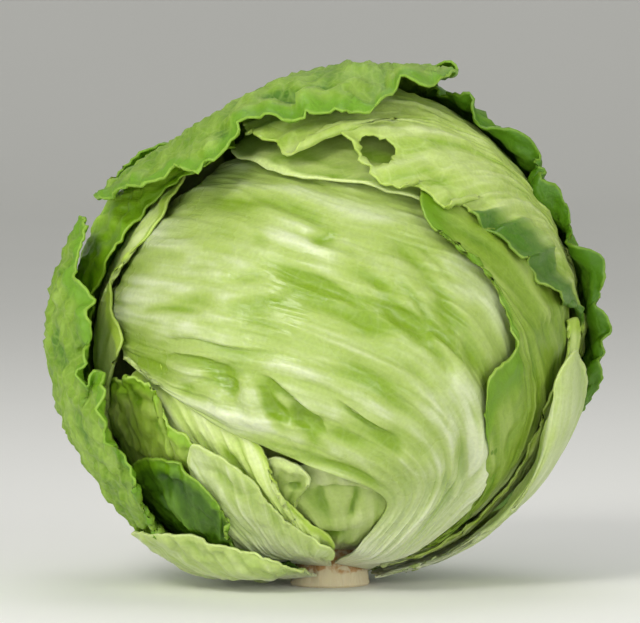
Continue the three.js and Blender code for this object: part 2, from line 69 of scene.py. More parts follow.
class FoldKind(Enum):
    """How a fold line changes the blade beside it."""

    VALLEY = "valley"
    RIDGE = "ridge"
    LEDGE = "ledge"


VALLEY, RIDGE, LEDGE = FoldKind


def smooth(low: float, high: float, x: Array) -> Array:
    """Smooth step from 0 at low to 1 at high."""
    share = np.clip((x - low) / (high - low), 0.0, 1.0)
    return share * share * (3.0 - 2.0 * share)


def unit(vectors: Array) -> Array:
    """Vectors brought to length one along the last axis."""
    return vectors / np.maximum(np.linalg.norm(vectors, axis=-1, keepdims=True), 1e-12)


def wander(u: Array, seed: int, low: float, high: float) -> Array:
    """Even, seeded wandering between about -1 and 1 along a leaf's edge.

    Args:
        u: Shares of the edge.
        seed: Seed of the draws.
        low: Fewest turns along the edge.
        high: Most turns along the edge.

    Returns:
        One value for each share.
    """
    draws = np.random.default_rng(seed)
    turns = draws.uniform(low, high, WANDER_WAVES)
    phases = draws.uniform(0.0, TURN, WANDER_WAVES)
    total = np.zeros_like(u)
    for count, phase in zip(turns, phases):
        total = total + np.sin(TURN * count * u + phase)
    return total / WANDER_SPREAD


def through(points: Array, shares: Array) -> Array:
    """Smooth curve through points that stand at even shares.

    Args:
        points: Stops along the first axis; a second axis, if shares has one too, holds separate curves.
        shares: Shares from 0 to 1, one list for all curves or one column for each.

    Returns:
        Points of the curve at the shares.
    """
    last = len(points) - 1
    place = np.clip(shares, 0.0, 1.0) * last
    index = np.minimum(place.astype(int), last - 1)
    weight = (place - index)[..., None]
    padded = np.concatenate([[2.0 * points[0] - points[1]], points, [2.0 * points[-1] - points[-2]]])
    if shares.ndim == 2:
        column = np.arange(points.shape[1])[None, :]
        before, start, end, after = (padded[index + k, column] for k in range(4))
    else:
        before, start, end, after = (padded[index + k] for k in range(4))
    leave = 0.5 * (end - before)
    arrive = 0.5 * (after - start)
    bend = 3.0 * (end - start) - 2.0 * leave - arrive
    twist = 2.0 * (start - end) + leave + arrive
    return start + weight * (leave + weight * (bend + weight * twist))


def by_length(points: Array, shares: Array, pieces: int = 200) -> Array:
    """Shares of a curve's length turned into even shares of its stops."""
    even = np.linspace(0.0, 1.0, pieces + 1)
    steps = np.linalg.norm(np.diff(through(points, even), axis=0), axis=1)
    length = np.concatenate([[0.0], np.cumsum(steps)])
    return np.interp(shares, length / length[-1], even)


@dataclass(frozen=True)
class HeadForm:
    """The head's girth, an ellipsoid with swells and hollows, in millimetres.

    A swell is longitude, latitude, height and spread.
    """

    girth: tuple[float, float, float] = (82.6, 80.0, 78.3)
    centre_z: float = 79.2
    swells: Table = (
        (-90, -52, 6.5, 0.2), (-92, 48, -5, 0.16), (70, 72, 2.5, 0.12), (150, -25, 2, 0.2),
        (45, 5, 1.2, 0.15), (5, -18, 7, 0.3),
    )
    swell_fade: tuple[float, float] = (-0.985, -0.88)

    def direction(self, longitude: Array, latitude: Array) -> Array:
        """Unit directions: longitude 0 is the front and 90 the right, latitude -90 the stem."""
        lon, lat = np.radians(longitude), np.radians(latitude)
        return np.stack([np.cos(lat) * np.sin(lon), -np.cos(lat) * np.cos(lon), np.sin(lat)], axis=-1)

    def outward(self, dirs: Array) -> Array:
        """Outward normals of the girth."""
        return unit(dirs / np.array(self.girth))

    def swell(self, dirs: Array) -> Array:
        """Height of the swells in the given directions."""
        rise = np.zeros(dirs.shape[:-1])
        for lon, lat, height, spread in self.swells:
            middle = self.direction(np.array(lon), np.array(lat))
            rise = rise + height * np.exp((dirs @ middle - 1.0) / spread)
        return rise * smooth(*self.swell_fade, dirs[..., 2])

    def point(self, dirs: Array, depth: Array) -> Array:
        """Points at a depth below the girth."""
        base = dirs * np.array(self.girth) + np.array([0.0, 0.0, self.centre_z])
        return base + self.outward(dirs) * (self.swell(dirs) - depth)[..., None]


HEAD = HeadForm()


@dataclass(frozen=True)
class Fold:
    """A fold line drawn on a leaf, from its left to its right, in degrees on the head. Its height also tints
    the leaf: painted shade along valleys, a little painted light along ridges.
    """

    kind: FoldKind
    line: Table
    height: float
    width: float
    depth: float = 15.4

    STEPS = 6
    REACH = 6.0
    FADE = 0.4
    FAR = 1e9
    LEDGE_EDGE = 0.5
    LEDGE_RISE = 0.45
    LEDGE_DROP = 0.55
    RISE_WIDTH = 1.6

    def lift(self, points: Array, normals: Array) -> Array:
        """Height that the fold adds to a blade.

        Args:
            points: Points of the blade, in millimetres.
            normals: Outward normals there.

        Returns:
            Millimetres along the normals.
        """
        dense = through(np.array(self.line, float), np.linspace(0.0, 1.0, self.STEPS * len(self.line)))
        path = HEAD.point(HEAD.direction(dense[:, 0], dense[:, 1]), np.full(len(dense), self.depth))
        steps = np.linalg.norm(np.diff(path, axis=0), axis=1)
        reached = np.concatenate([[0.0], np.cumsum(steps)])
        reach = steps.sum() / 2.0 + self.REACH * self.width
        near = np.linalg.norm(points - path.mean(axis=0), axis=-1) < reach
        lift = np.zeros(points.shape[:-1])
        lift[near] = self._profile(points[near], normals[near], path, reached)
        return lift

    def _profile(self, points: Array, normals: Array, path: Array, reached: Array) -> Array:
        """Height of the fold at points near it.

        Args:
            points: Points of the blade.
            normals: Outward normals there.
            path: The fold line.
            reached: Length of the line up to each of its points.

        Returns:
            Millimetres along the normals.
        """
        nearest = np.full(len(points), self.FAR)
        side = np.zeros_like(nearest)
        share = np.zeros_like(nearest)
        for k in range(len(path) - 1):
            run = path[k + 1] - path[k]
            along = np.clip(((points - path[k]) @ run) / (run @ run), 0.0, 1.0)
            gap = points - (path[k] + along[:, None] * run)
            gap = gap - normals * np.sum(gap * normals, axis=1, keepdims=True)
            distance = np.linalg.norm(gap, axis=1)
            closer = distance < nearest
            nearest = np.where(closer, distance, nearest)
            side = np.where(closer, np.sign(np.sum(gap * np.cross(normals, run), axis=1)), side)
            share = np.where(closer, reached[k] + along * (reached[k + 1] - reached[k]), share)
        share = share / reached[-1]
        fade = smooth(0.0, self.FADE, share) * smooth(0.0, self.FADE, 1.0 - share)
        if self.kind is FoldKind.LEDGE:
            signed = nearest * side
            upper = smooth(-self.LEDGE_EDGE, self.LEDGE_EDGE, signed)
            rise = self.LEDGE_RISE * np.exp(-np.maximum(signed, 0.0) / (self.RISE_WIDTH * self.width))
            drop = self.LEDGE_DROP * np.exp(-np.maximum(-signed, 0.0) / self.width)
            return self.height * fade * (upper * rise - (1.0 - upper) * drop)
        bell = np.exp(-((nearest / self.width) ** 2))
        return (self.height if self.kind is FoldKind.RIDGE else -self.height) * fade * bell


@dataclass(frozen=True)
class Relief:
    """Folds along the veins, blisters, fine ribs and crumples, as heights and sizes in millimetres."""

    fold_height: float
    fold_width: float
    fold_length: float
    blister_height: float
    blister_size: float
    rib_height: float
    crumple_height: float
    crumple_size: float
    seed: float


class Wiring:
    """Places and joins the nodes of one tree."""

    def __init__(self, tree: bpy.types.NodeTree) -> None:
        """Keeps the tree."""
        self.tree = tree

    def add(self, kind: str, **settings: Any) -> bpy.types.Node:
        """A new node with the given settings."""
        node = self.tree.nodes.new(kind)
        for key, value in settings.items():
            setattr(node, key, value)
        return node

    def feed(self, socket: bpy.types.NodeSocket, value: Any) -> None:
        """Joins another node's output to a socket, or sets a plain value on it."""
        if isinstance(value, bpy.types.NodeSocket):
            self.tree.links.new(value, socket)
        elif value is not None:
            socket.default_value = value

    def math(self, operation: str, *values: Any) -> bpy.types.NodeSocket:
        """Result of a Math node."""
        node = self.add("ShaderNodeMath", operation=operation)
        for socket, value in zip(node.inputs, values):
            self.feed(socket, value)
        return node.outputs[0]

    def vector(self, operation: str, *values: Any) -> bpy.types.NodeSocket:
        """Result of a Vector Math node."""
        node = self.add("ShaderNodeVectorMath", operation=operation)
        for socket, value in zip(node.inputs, values):
            self.feed(socket, value)
        return node.outputs[0]

    def scaled(self, vector: Any, factor: Any) -> bpy.types.NodeSocket:
        """A vector times one number."""
        node = self.add("ShaderNodeVectorMath", operation="SCALE")
        self.feed(node.inputs[0], vector)
        self.feed(node.inputs["Scale"], factor)
        return node.outputs[0]

    def ramp(self, value: Any, low: Any, high: Any) -> bpy.types.NodeSocket:
        """Smooth step of a value from 0 at low to 1 at high."""
        node = self.add("ShaderNodeMapRange", interpolation_type="SMOOTHSTEP")
        for socket, given in zip(node.inputs, (value, low, high, 0.0, 1.0)):
            self.feed(socket, given)
        return node.outputs[0]

    def noise(self, vector: Any, scale: Any, detail: float = 2.0, twist: float = 0.0) -> bpy.types.NodeSocket:
        """Noise from 0 to 1."""
        node = self.add("ShaderNodeTexNoise", noise_dimensions="3D")
        values = {"Vector": vector, "Scale": scale, "Detail": detail, "Roughness": 0.5, "Distortion": twist}
        for key, value in values.items():
            self.feed(node.inputs[key], value)
        return node.outputs[0]

    def web(self, vector: Any, scale: Any) -> bpy.types.NodeSocket:
        """Distance from the lines of a net of cells."""
        node = self.add("ShaderNodeTexVoronoi", voronoi_dimensions="3D", feature="DISTANCE_TO_EDGE")
        self.feed(node.inputs["Vector"], vector)
        self.feed(node.inputs["Scale"], scale)
        return node.outputs[0]

    def mix(self, share: Any, first: Any, second: Any) -> bpy.types.NodeSocket:
        """Mix of two colours."""
        node = self.add("ShaderNodeMix", data_type="RGBA")
        for index, value in ((0, share), (6, first), (7, second)):
            self.feed(node.inputs[index], value)
        return node.outputs[2]

    def stretched(self, vector: Any, x: Any, y: Any, z: Any) -> bpy.types.NodeSocket:
        """A flow vector divided by a width and a length, with its third part set."""
        apart = self.add("ShaderNodeSeparateXYZ")
        self.feed(apart.inputs[0], vector)
        joined = self.add("ShaderNodeCombineXYZ")
        self.feed(joined.inputs[0], self.math("DIVIDE", apart.outputs[0], x))
        self.feed(joined.inputs[1], self.math("DIVIDE", apart.outputs[1], y))
        self.feed(joined.inputs[2], z)
        return joined.outputs[0]


class ReliefTree:
    """Geometry nodes that raise a leaf's folds, blisters, ribs and crumples and give it its material."""

    INPUTS = (
        ("Fold Height", 1.0), ("Fold Width", 8.0), ("Fold Length", 45.0), ("Blister Height", 0.0),
        ("Blister Size", 7.0), ("Rib Height", 0.2), ("Crumple Height", 1.0), ("Crumple Size", 16.0),
        ("Seed", 0.0),
    )
    CENTRED = (4.0, -2.0)
    NARROW_SHARE = 0.32
    NARROW_IN_RIDGE = 0.3
    DRIFT_SCALE = 0.09
    DRIFT = 5.0
    BLISTER_EDGE = 0.32
    BLISTER_LEVEL = 0.6
    CREASE_SHIFTS = (11.0, 57.0)
    SEED_SHIFT = 3.7
    RUFFLE_REACH = 16.0
    RUFFLE_FADE = 0.7
    RUFFLE_AT_LIP = 1.7

    def __init__(self) -> None:
        """Builds the tree once."""
        self.tree = bpy.data.node_groups.new("leaf_relief", "GeometryNodeTree")
        face = self.tree.interface
        face.new_socket("Geometry", in_out="INPUT", socket_type="NodeSocketGeometry")
        for name, value in self.INPUTS:
            face.new_socket(name, in_out="INPUT", socket_type="NodeSocketFloat").default_value = value
        face.new_socket("Material", in_out="INPUT", socket_type="NodeSocketMaterial")
        face.new_socket("Geometry", in_out="OUTPUT", socket_type="NodeSocketGeometry")
        self._wire(Wiring(self.tree))

    def _named(self, wiring: Wiring, name: str, kind: str) -> bpy.types.NodeSocket:
        """An attribute of the sheet."""
        node = wiring.add("GeometryNodeInputNamedAttribute", data_type=kind)
        node.inputs["Name"].default_value = name
        return node.outputs[0]

    def _wire(self, wiring: Wiring) -> None:
        """Joins the nodes: heights from noise along the veins, then position, attributes and material.

        Args:
            wiring: Helper for this tree.
        """
        given = wiring.add("NodeGroupInput").outputs
        flow = self._named(wiring, "flow", "FLOAT_VECTOR")
        free = self._named(wiring, "free", "FLOAT")
        seed = given["Seed"]
        place = wiring.scaled(wiring.add("GeometryNodeInputPosition").outputs[0], 1.0 / MM)
        broad = wiring.stretched(flow, given["Fold Width"], given["Fold Length"], seed)
        broad = wiring.math("MULTIPLY_ADD", wiring.noise(broad, 1.0, 2.0, 0.5), *self.CENTRED)
        narrow_width = wiring.math("MULTIPLY", given["Fold Width"], self.NARROW_SHARE)
        narrow = wiring.stretched(flow, narrow_width, given["Fold Length"], seed)
        narrow = wiring.math("MULTIPLY_ADD", wiring.noise(narrow, 1.0, 1.0, 0.3), *self.CENTRED)
        drift = wiring.noise(place, self.DRIFT_SCALE, 1.0)
        bent = wiring.vector("ADD", place, wiring.scaled(drift, self.DRIFT))
        cells = wiring.web(bent, wiring.math("DIVIDE", 1.0, given["Blister Size"]))
        blister = wiring.math("SUBTRACT", wiring.ramp(cells, 0.0, self.BLISTER_EDGE), self.BLISTER_LEVEL)
        ridge = wiring.math("MULTIPLY_ADD", narrow, self.NARROW_IN_RIDGE, broad)
        height = wiring.math("MULTIPLY", broad, given["Fold Height"])
        height = wiring.math("ADD", height, wiring.math("MULTIPLY", narrow, given["Rib Height"]))
        puff = wiring.math("MULTIPLY", blister, given["Blister Height"])
        first, second = (self._creased(wiring, place, given, shift) for shift in self.CREASE_SHIFTS)
        crumple = wiring.math("SUBTRACT", first, second)
        ruffle = wiring.ramp(self._named(wiring, "lip", "FLOAT"), 0.0, self.RUFFLE_REACH)
        ruffle = wiring.math("MULTIPLY", ruffle, self.RUFFLE_FADE)
        ruffle = wiring.math("SUBTRACT", self.RUFFLE_AT_LIP, ruffle)
        ruffle = wiring.math("MULTIPLY", given["Crumple Height"], ruffle)
        puff = wiring.math("MULTIPLY_ADD", crumple, ruffle, puff)
        height = wiring.math("MULTIPLY", wiring.math("ADD", height, puff), wiring.math("MULTIPLY", free, MM))
        outward = wiring.add("GeometryNodeInputNormal").outputs[0]
        moved = wiring.add("GeometryNodeSetPosition")
        wiring.feed(moved.inputs["Geometry"], given["Geometry"])
        wiring.feed(moved.inputs["Offset"], wiring.scaled(outward, height))
        store = wiring.add("GeometryNodeStoreNamedAttribute", data_type="FLOAT", domain="POINT")
        wiring.feed(store.inputs["Geometry"], moved.outputs[0])
        store.inputs["Name"].default_value = "ridge"
        wiring.feed(store.inputs["Value"], ridge)
        realize = wiring.add("GeometryNodeRealizeInstances")
        wiring.feed(realize.inputs[0], store.outputs[0])
        paint = wiring.add("GeometryNodeSetMaterial")
        wiring.feed(paint.inputs["Geometry"], realize.outputs[0])
        wiring.feed(paint.inputs["Material"], given["Material"])
        wiring.feed(wiring.add("NodeGroupOutput").inputs[0], paint.outputs[0])

    def _creased(self, wiring: Wiring, place: Any, given: Any, shift: float) -> bpy.types.NodeSocket:
        """Heights of soft swells that meet in sharp creases.

        Args:
            wiring: Helper for this tree.
            place: Position, in millimetres.
            given: The tree's inputs.
            shift: Moves the noise, so that two calls differ.

        Returns:
            Height from 0 in a crease to about 1 on a swell.
        """
        moved = wiring.add("ShaderNodeCombineXYZ")
        wiring.feed(moved.inputs[0], wiring.math("MULTIPLY_ADD", given["Seed"], self.SEED_SHIFT, shift))
        moved = wiring.vector("ADD", place, moved.outputs[0])
        swell = wiring.noise(moved, wiring.math("DIVIDE", 1.0, given["Crumple Size"]), 1.5, 0.7)
        return wiring.math("ABSOLUTE", wiring.math("MULTIPLY_ADD", swell, *self.CENTRED))

    def put_on(self, piece: bpy.types.Object, relief: Relief, material: bpy.types.Material) -> None:
        """Adds the tree to a sheet as a modifier.

        Args:
            piece: The sheet, with its flow, free and lip attributes.
            relief: Heights and sizes.
            material: The leaf's material.
        """
        modifier = piece.modifiers.new("relief", "NODES")
        modifier.node_group = self.tree
        values = (
            relief.fold_height, relief.fold_width, relief.fold_length, relief.blister_height,
            relief.blister_size, relief.rib_height, relief.crumple_height, relief.crumple_size, relief.seed,
        )
        sockets = [item for item in self.tree.interface.items_tree if item.in_out == "INPUT"]
        for socket, value in zip(sockets[1:], (*values, material)):
            modifier[socket.identifier] = value


def made_plain(piece: bpy.types.Object) -> None:
    """Replaces a piece's mesh by its evaluated one and removes its modifiers."""
    depsgraph = bpy.context.evaluated_depsgraph_get()
    mesh = bpy.data.meshes.new_from_object(piece.evaluated_get(depsgraph), depsgraph=depsgraph)
    piece.modifiers.clear()
    piece.data = mesh
    mesh.shade_smooth()


def sheet_object(name: str, points: Array, faces: Array, attributes: dict[str, Array]) -> bpy.types.Object:
    """A mesh object from points in millimetres.

    Args:
        name: Name of the piece.
        points: Vertices.
        faces: Vertex numbers of the quads.
        attributes: Values by name, one number or one vector for each vertex.

    Returns:
        The object, linked into the scene.
    """
    used, packed = np.unique(faces, return_inverse=True)
    mesh = bpy.data.meshes.new(name)
    mesh.from_pydata(points[used] * MM, [], packed.reshape(faces.shape).tolist())
    for key, values in attributes.items():
        kind, field = ("FLOAT_VECTOR", "vector") if values.ndim == 2 else ("FLOAT", "value")
        layer = mesh.attributes.new(key, kind, "POINT")
        layer.data.foreach_set(field, values[used].astype(np.float32).ravel())
    mesh.update()
    piece = bpy.data.objects.new(name, mesh)
    bpy.context.scene.collection.objects.link(piece)
    return piece


def grid_faces(rows: int, columns: int, closed: bool = False) -> Array:
    """Quads of a grid of vertices, row by row, facing out where columns run left to right."""
    index = np.arange(rows * columns).reshape(rows, columns)
    if closed:
        index = np.concatenate([index, index[:, :1]], axis=1)
    low, high = index[:-1], index[1:]
    return np.stack([low[:, :-1], low[:, 1:], high[:, 1:], high[:, :-1]], axis=-1).reshape(-1, 4)


@dataclass(frozen=True)
class LeafFinish:
    """Colours and surface of a kind of leaf; lengths in millimetres, colours linear."""

    name: str
    vein: Colour
    blade: Colour
    valley: Colour
    stalk: Colour
    rim: Colour
    lip: Colour
    stalk_reach: float = 0.35
    rim_width: float = 8.0
    web_share: float = 0.2
    web_size: float = 7.0
    roughness: float = 0.42
    bump: float = 0.5

    BUMP_DEPTH = 0.4
    GLOW = 0.25
    GLOW_RADIUS = (1.0, 1.0, 0.25)
    GLOW_DEPTH = 1.6
    SHINE = 0.4

    def material(self, tone: "LeafTone") -> bpy.types.Material:
        """The finish as a material.

        Args:
            tone: The shared group of leaf colours.

        Returns:
            A new material.
        """
        made = bpy.data.materials.new(self.name)
        made.use_nodes = True
        wiring = Wiring(made.node_tree)
        shader = made.node_tree.nodes["Principled BSDF"]
        group = wiring.add("ShaderNodeGroup", node_tree=tone.tree)
        colours = (self.vein, self.blade, self.valley, self.stalk, self.rim, self.lip)
        for key, value in zip(tone.COLOURS, colours):
            group.inputs[key].default_value = (*value, 1.0)
        sizes = {
            "Stalk Reach": self.stalk_reach, "Rim Width": self.rim_width, "Web Share": self.web_share,
            "Web Size": self.web_size, "Roughness": self.roughness,
        }
        for key, value in sizes.items():
            group.inputs[key].default_value = value
        bump = wiring.add("ShaderNodeBump")
        bump.inputs["Strength"].default_value = self.bump
        bump.inputs["Distance"].default_value = self.BUMP_DEPTH * MM
        wiring.feed(bump.inputs["Height"], group.outputs["Height"])
        wiring.feed(shader.inputs["Base Color"], group.outputs["Colour"])
        wiring.feed(shader.inputs["Roughness"], group.outputs["Roughness"])
        wiring.feed(shader.inputs["Normal"], bump.outputs[0])
        shader.inputs["Subsurface Weight"].default_value = self.GLOW
        shader.inputs["Subsurface Radius"].default_value = self.GLOW_RADIUS
        shader.inputs["Subsurface Scale"].default_value = self.GLOW_DEPTH * MM
        shader.inputs["Specular IOR Level"].default_value = self.SHINE
        return made


class LeafTone:
    """Shared shader group: a leaf's colour, roughness and fine height, with painted shade in fold valleys and
    painted light on fold ridges.

    They follow its veins, folds, stalk, rim and lip. A pattern along the veins has a width, a length and a
    place of its own in the noise; levels run from a valley to a vein.
    """

    COLOURS = ("Vein", "Blade", "Valley", "Stalk", "Rim", "Lip")
    SIZES = ("Stalk Reach", "Rim Width", "Web Share", "Web Size", "Roughness")
    RIBS = (3.4, 34.0, 3.0)
    HAIRS = (1.0, 16.0, 7.0)
    STREAKS = (13.0, 46.0, 5.0)
    PATCH_SCALE = 0.06
    SPECKLE_SCALE = 0.9
    RIDGE_LEVEL = 0.6
    LINE_LEVEL = 0.35
    LINE_SPAN = (1.5, -0.75)
    PATCH_SPAN = (0.9, -0.45)
    STREAK_SPAN = (1.8, -0.9)
    CREASE_LIGHT_MOST = 0.3
    CREASE_SHADE_LEVEL = 1.8
    BLADE_LEVELS = (-1.1, 0.1)
    VEIN_LEVELS = (-0.1, 1.0)
    WEB_DRIFT_SCALE = 0.12
    WEB_DRIFT = 4.0
    FINE_CELLS = 2.7
    WEB_LINE = 0.11
    FINE_LINE = 0.16
    FINE_SHARE = 0.45
    STALK_LINES = (-0.75, 0.35)
    RIM_SPAN = (6.0, -3.0)
    FULL_RIM = 0.4
    RIM_SPECKLE = (0.4, 0.7)
    LIP_LINE = (0.2, 1.0)
    LIP_SHARE = 0.7
    SPECKLE_VALUE = (0.3, 0.85)
    PATCH_ROUGHNESS = (0.3, -0.15)
    HAIR_HEIGHT = 0.25
    RIB_HEIGHT = 0.7
    SPECKLE_HEIGHT = 0.35

    def __init__(self) -> None:
        """Builds the group once."""
        self.tree = bpy.data.node_groups.new("leaf_tone", "ShaderNodeTree")
        face = self.tree.interface
        for name in self.COLOURS:
            face.new_socket(name, in_out="INPUT", socket_type="NodeSocketColor")
        for name in self.SIZES:
            face.new_socket(name, in_out="INPUT", socket_type="NodeSocketFloat")
        face.new_socket("Colour", in_out="OUTPUT", socket_type="NodeSocketColor")
        face.new_socket("Roughness", in_out="OUTPUT", socket_type="NodeSocketFloat")
        face.new_socket("Height", in_out="OUTPUT", socket_type="NodeSocketFloat")
        self._wire(Wiring(self.tree))

    def _read(self, wiring: Wiring, name: str, output: str = "Fac") -> bpy.types.NodeSocket:
        """An attribute of the leaf."""
        return wiring.add("ShaderNodeAttribute", attribute_name=name).outputs[output]

    def _wire(self, wiring: Wiring) -> None:
        """Joins the nodes of the group.

        Args:
            wiring: Helper for this group.
        """
        given = wiring.add("NodeGroupInput").outputs
        place = wiring.scaled(wiring.add("ShaderNodeTexCoord").outputs["Object"], 1.0 / MM)
        flow = self._read(wiring, "flow", "Vector")
        ridge = self._read(wiring, "ridge")
        crease = self._read(wiring, "crease")
        rim = self._read(wiring, "rim")
        lip = self._read(wiring, "lip")
        share = self._read(wiring, "share")
        ribs = wiring.noise(wiring.stretched(flow, *self.RIBS), 1.0, 3.0, 0.9)
        hairs = wiring.noise(wiring.stretched(flow, *self.HAIRS), 1.0, 2.0, 0.6)
        streaks = wiring.noise(wiring.stretched(flow, *self.STREAKS), 1.0, 3.0, 1.0)
        patches = wiring.noise(place, self.PATCH_SCALE, 3.0)
        speckle = wiring.noise(place, self.SPECKLE_SCALE, 3.0)
        lines = wiring.math("MULTIPLY_ADD", ribs, *self.LINE_SPAN)
        level = wiring.math("MULTIPLY", lines, self.LINE_LEVEL)
        level = wiring.math("MULTIPLY_ADD", ridge, self.RIDGE_LEVEL, level)
        level = wiring.math("ADD", level, wiring.math("MULTIPLY_ADD", patches, *self.PATCH_SPAN))
        level = wiring.math("ADD", level, wiring.math("MULTIPLY_ADD", streaks, *self.STREAK_SPAN))
        # Fold heights tint the colour: valleys go toward the valley green as painted shade in the creases, and
        # ridges, capped, go a little toward the vein colour as painted light.
        crease = wiring.math("MINIMUM", crease, self.CREASE_LIGHT_MOST)
        level = wiring.math("MULTIPLY_ADD", crease, wiring.math("MULTIPLY", ribs, self.CREASE_SHADE_LEVEL), level)
        colour = wiring.mix(wiring.ramp(level, *self.BLADE_LEVELS), given["Valley"], given["Blade"])
        colour = wiring.mix(wiring.ramp(level, *self.VEIN_LEVELS), colour, given["Vein"])
        drift = wiring.scaled(wiring.noise(place, self.WEB_DRIFT_SCALE, 2.0), self.WEB_DRIFT)
        bent = wiring.vector("ADD", place, drift)
        cells = wiring.web(bent, wiring.math("DIVIDE", 1.0, given["Web Size"]))
        small = wiring.web(bent, wiring.math("DIVIDE", self.FINE_CELLS, given["Web Size"]))
        net = wiring.math("SUBTRACT", 1.0, wiring.ramp(cells, 0.0, self.WEB_LINE))
        fine_net = wiring.math("SUBTRACT", 1.0, wiring.ramp(small, 0.0, self.FINE_LINE))
        net = wiring.math("MAXIMUM", net, wiring.math("MULTIPLY", fine_net, self.FINE_SHARE))
        net = wiring.math("MULTIPLY", net, given["Web Share"])
        colour = wiring.mix(net, colour, given["Vein"])
        toward = wiring.math("SUBTRACT", 1.0, wiring.ramp(share, 0.0, given["Stalk Reach"]))
        toward = wiring.math("MULTIPLY", toward, wiring.ramp(lines, *self.STALK_LINES))
        colour = wiring.mix(toward, colour, given["Stalk"])
        edge = wiring.math("ADD", rim, wiring.math("MULTIPLY_ADD", patches, *self.RIM_SPAN))
        full_rim = wiring.math("MULTIPLY", given["Rim Width"], self.FULL_RIM)
        edge = wiring.math("SUBTRACT", 1.0, wiring.ramp(edge, full_rim, given["Rim Width"]))
        edge = wiring.math("MULTIPLY", edge, wiring.math("MULTIPLY_ADD", speckle, *self.RIM_SPECKLE))
        colour = wiring.mix(edge, colour, given["Rim"])
        line = wiring.math("SUBTRACT", 1.0, wiring.ramp(lip, *self.LIP_LINE))
        line = wiring.math("MULTIPLY", line, wiring.math("MULTIPLY", patches, self.LIP_SHARE))
        colour = wiring.mix(line, colour, given["Lip"])
        grey = wiring.add("ShaderNodeHueSaturation")
        wiring.feed(grey.inputs["Value"], wiring.math("MULTIPLY_ADD", speckle, *self.SPECKLE_VALUE))
        wiring.feed(grey.inputs["Color"], colour)
        rough = wiring.math("MULTIPLY_ADD", patches, *self.PATCH_ROUGHNESS)
        rough = wiring.math("ADD", given["Roughness"], rough)
        height = wiring.math("MULTIPLY", hairs, self.HAIR_HEIGHT)
        height = wiring.math("ADD", height, wiring.math("MULTIPLY", ribs, self.RIB_HEIGHT))
        height = wiring.math("ADD", height, wiring.math("MULTIPLY", speckle, self.SPECKLE_HEIGHT))
        height = wiring.math("SUBTRACT", height, net)
        result = wiring.add("NodeGroupOutput").inputs
        wiring.feed(result["Colour"], grey.outputs[0])
        wiring.feed(result["Roughness"], rough)
        wiring.feed(result["Height"], height)


@dataclass(frozen=True)
class Tear:
    """A ragged hole through a leaf."""

    longitude: float
    latitude: float
    radius: float
    depth: float = 7.0
    ragged: float = 0.12

    RAGS = ((1.0, 3.0, 0.6), (0.7, 7.0, 2.0), (0.5, 16.0, 0.0))

    def _gaps(self, points: Array) -> tuple[Array, Array, Array]:
        """Middle of the hole, the way to each point from it, and the hole's ragged radius that way."""
        along = HEAD.direction(np.array(self.longitude), np.array(self.latitude))
        middle = HEAD.point(along, np.array(self.depth))
        gap = points - middle
        turn = np.arctan2(gap[:, 2], gap[:, 0])
        ragged = sum(size * np.sin(count * turn + phase) for size, count, phase in self.RAGS)
        return middle, gap, self.radius * (1.0 + self.ragged * ragged)

    def distance(self, points: Array) -> Array:
        """Distance of points from the hole's margin, negative in the hole."""
        _, gap, radius = self._gaps(points)
        return np.linalg.norm(gap, axis=1) - radius

    def cut(self, points: Array, faces: Array) -> Array:
        """Takes the hole's faces away and draws the vertices around it onto its margin.

        Args:
            points: Vertices of the leaf, changed in place.
            faces: Vertex numbers of its quads.

        Returns:
            The quads that stay.
        """
        inside = self.distance(points[faces].mean(axis=1)) < 0.0
        margin = np.intersect1d(faces[inside], faces[~inside])
        middle, gap, radius = self._gaps(points[margin])
        points[margin] = middle + gap * (radius / np.linalg.norm(gap, axis=1))[:, None]
        return faces[~inside]


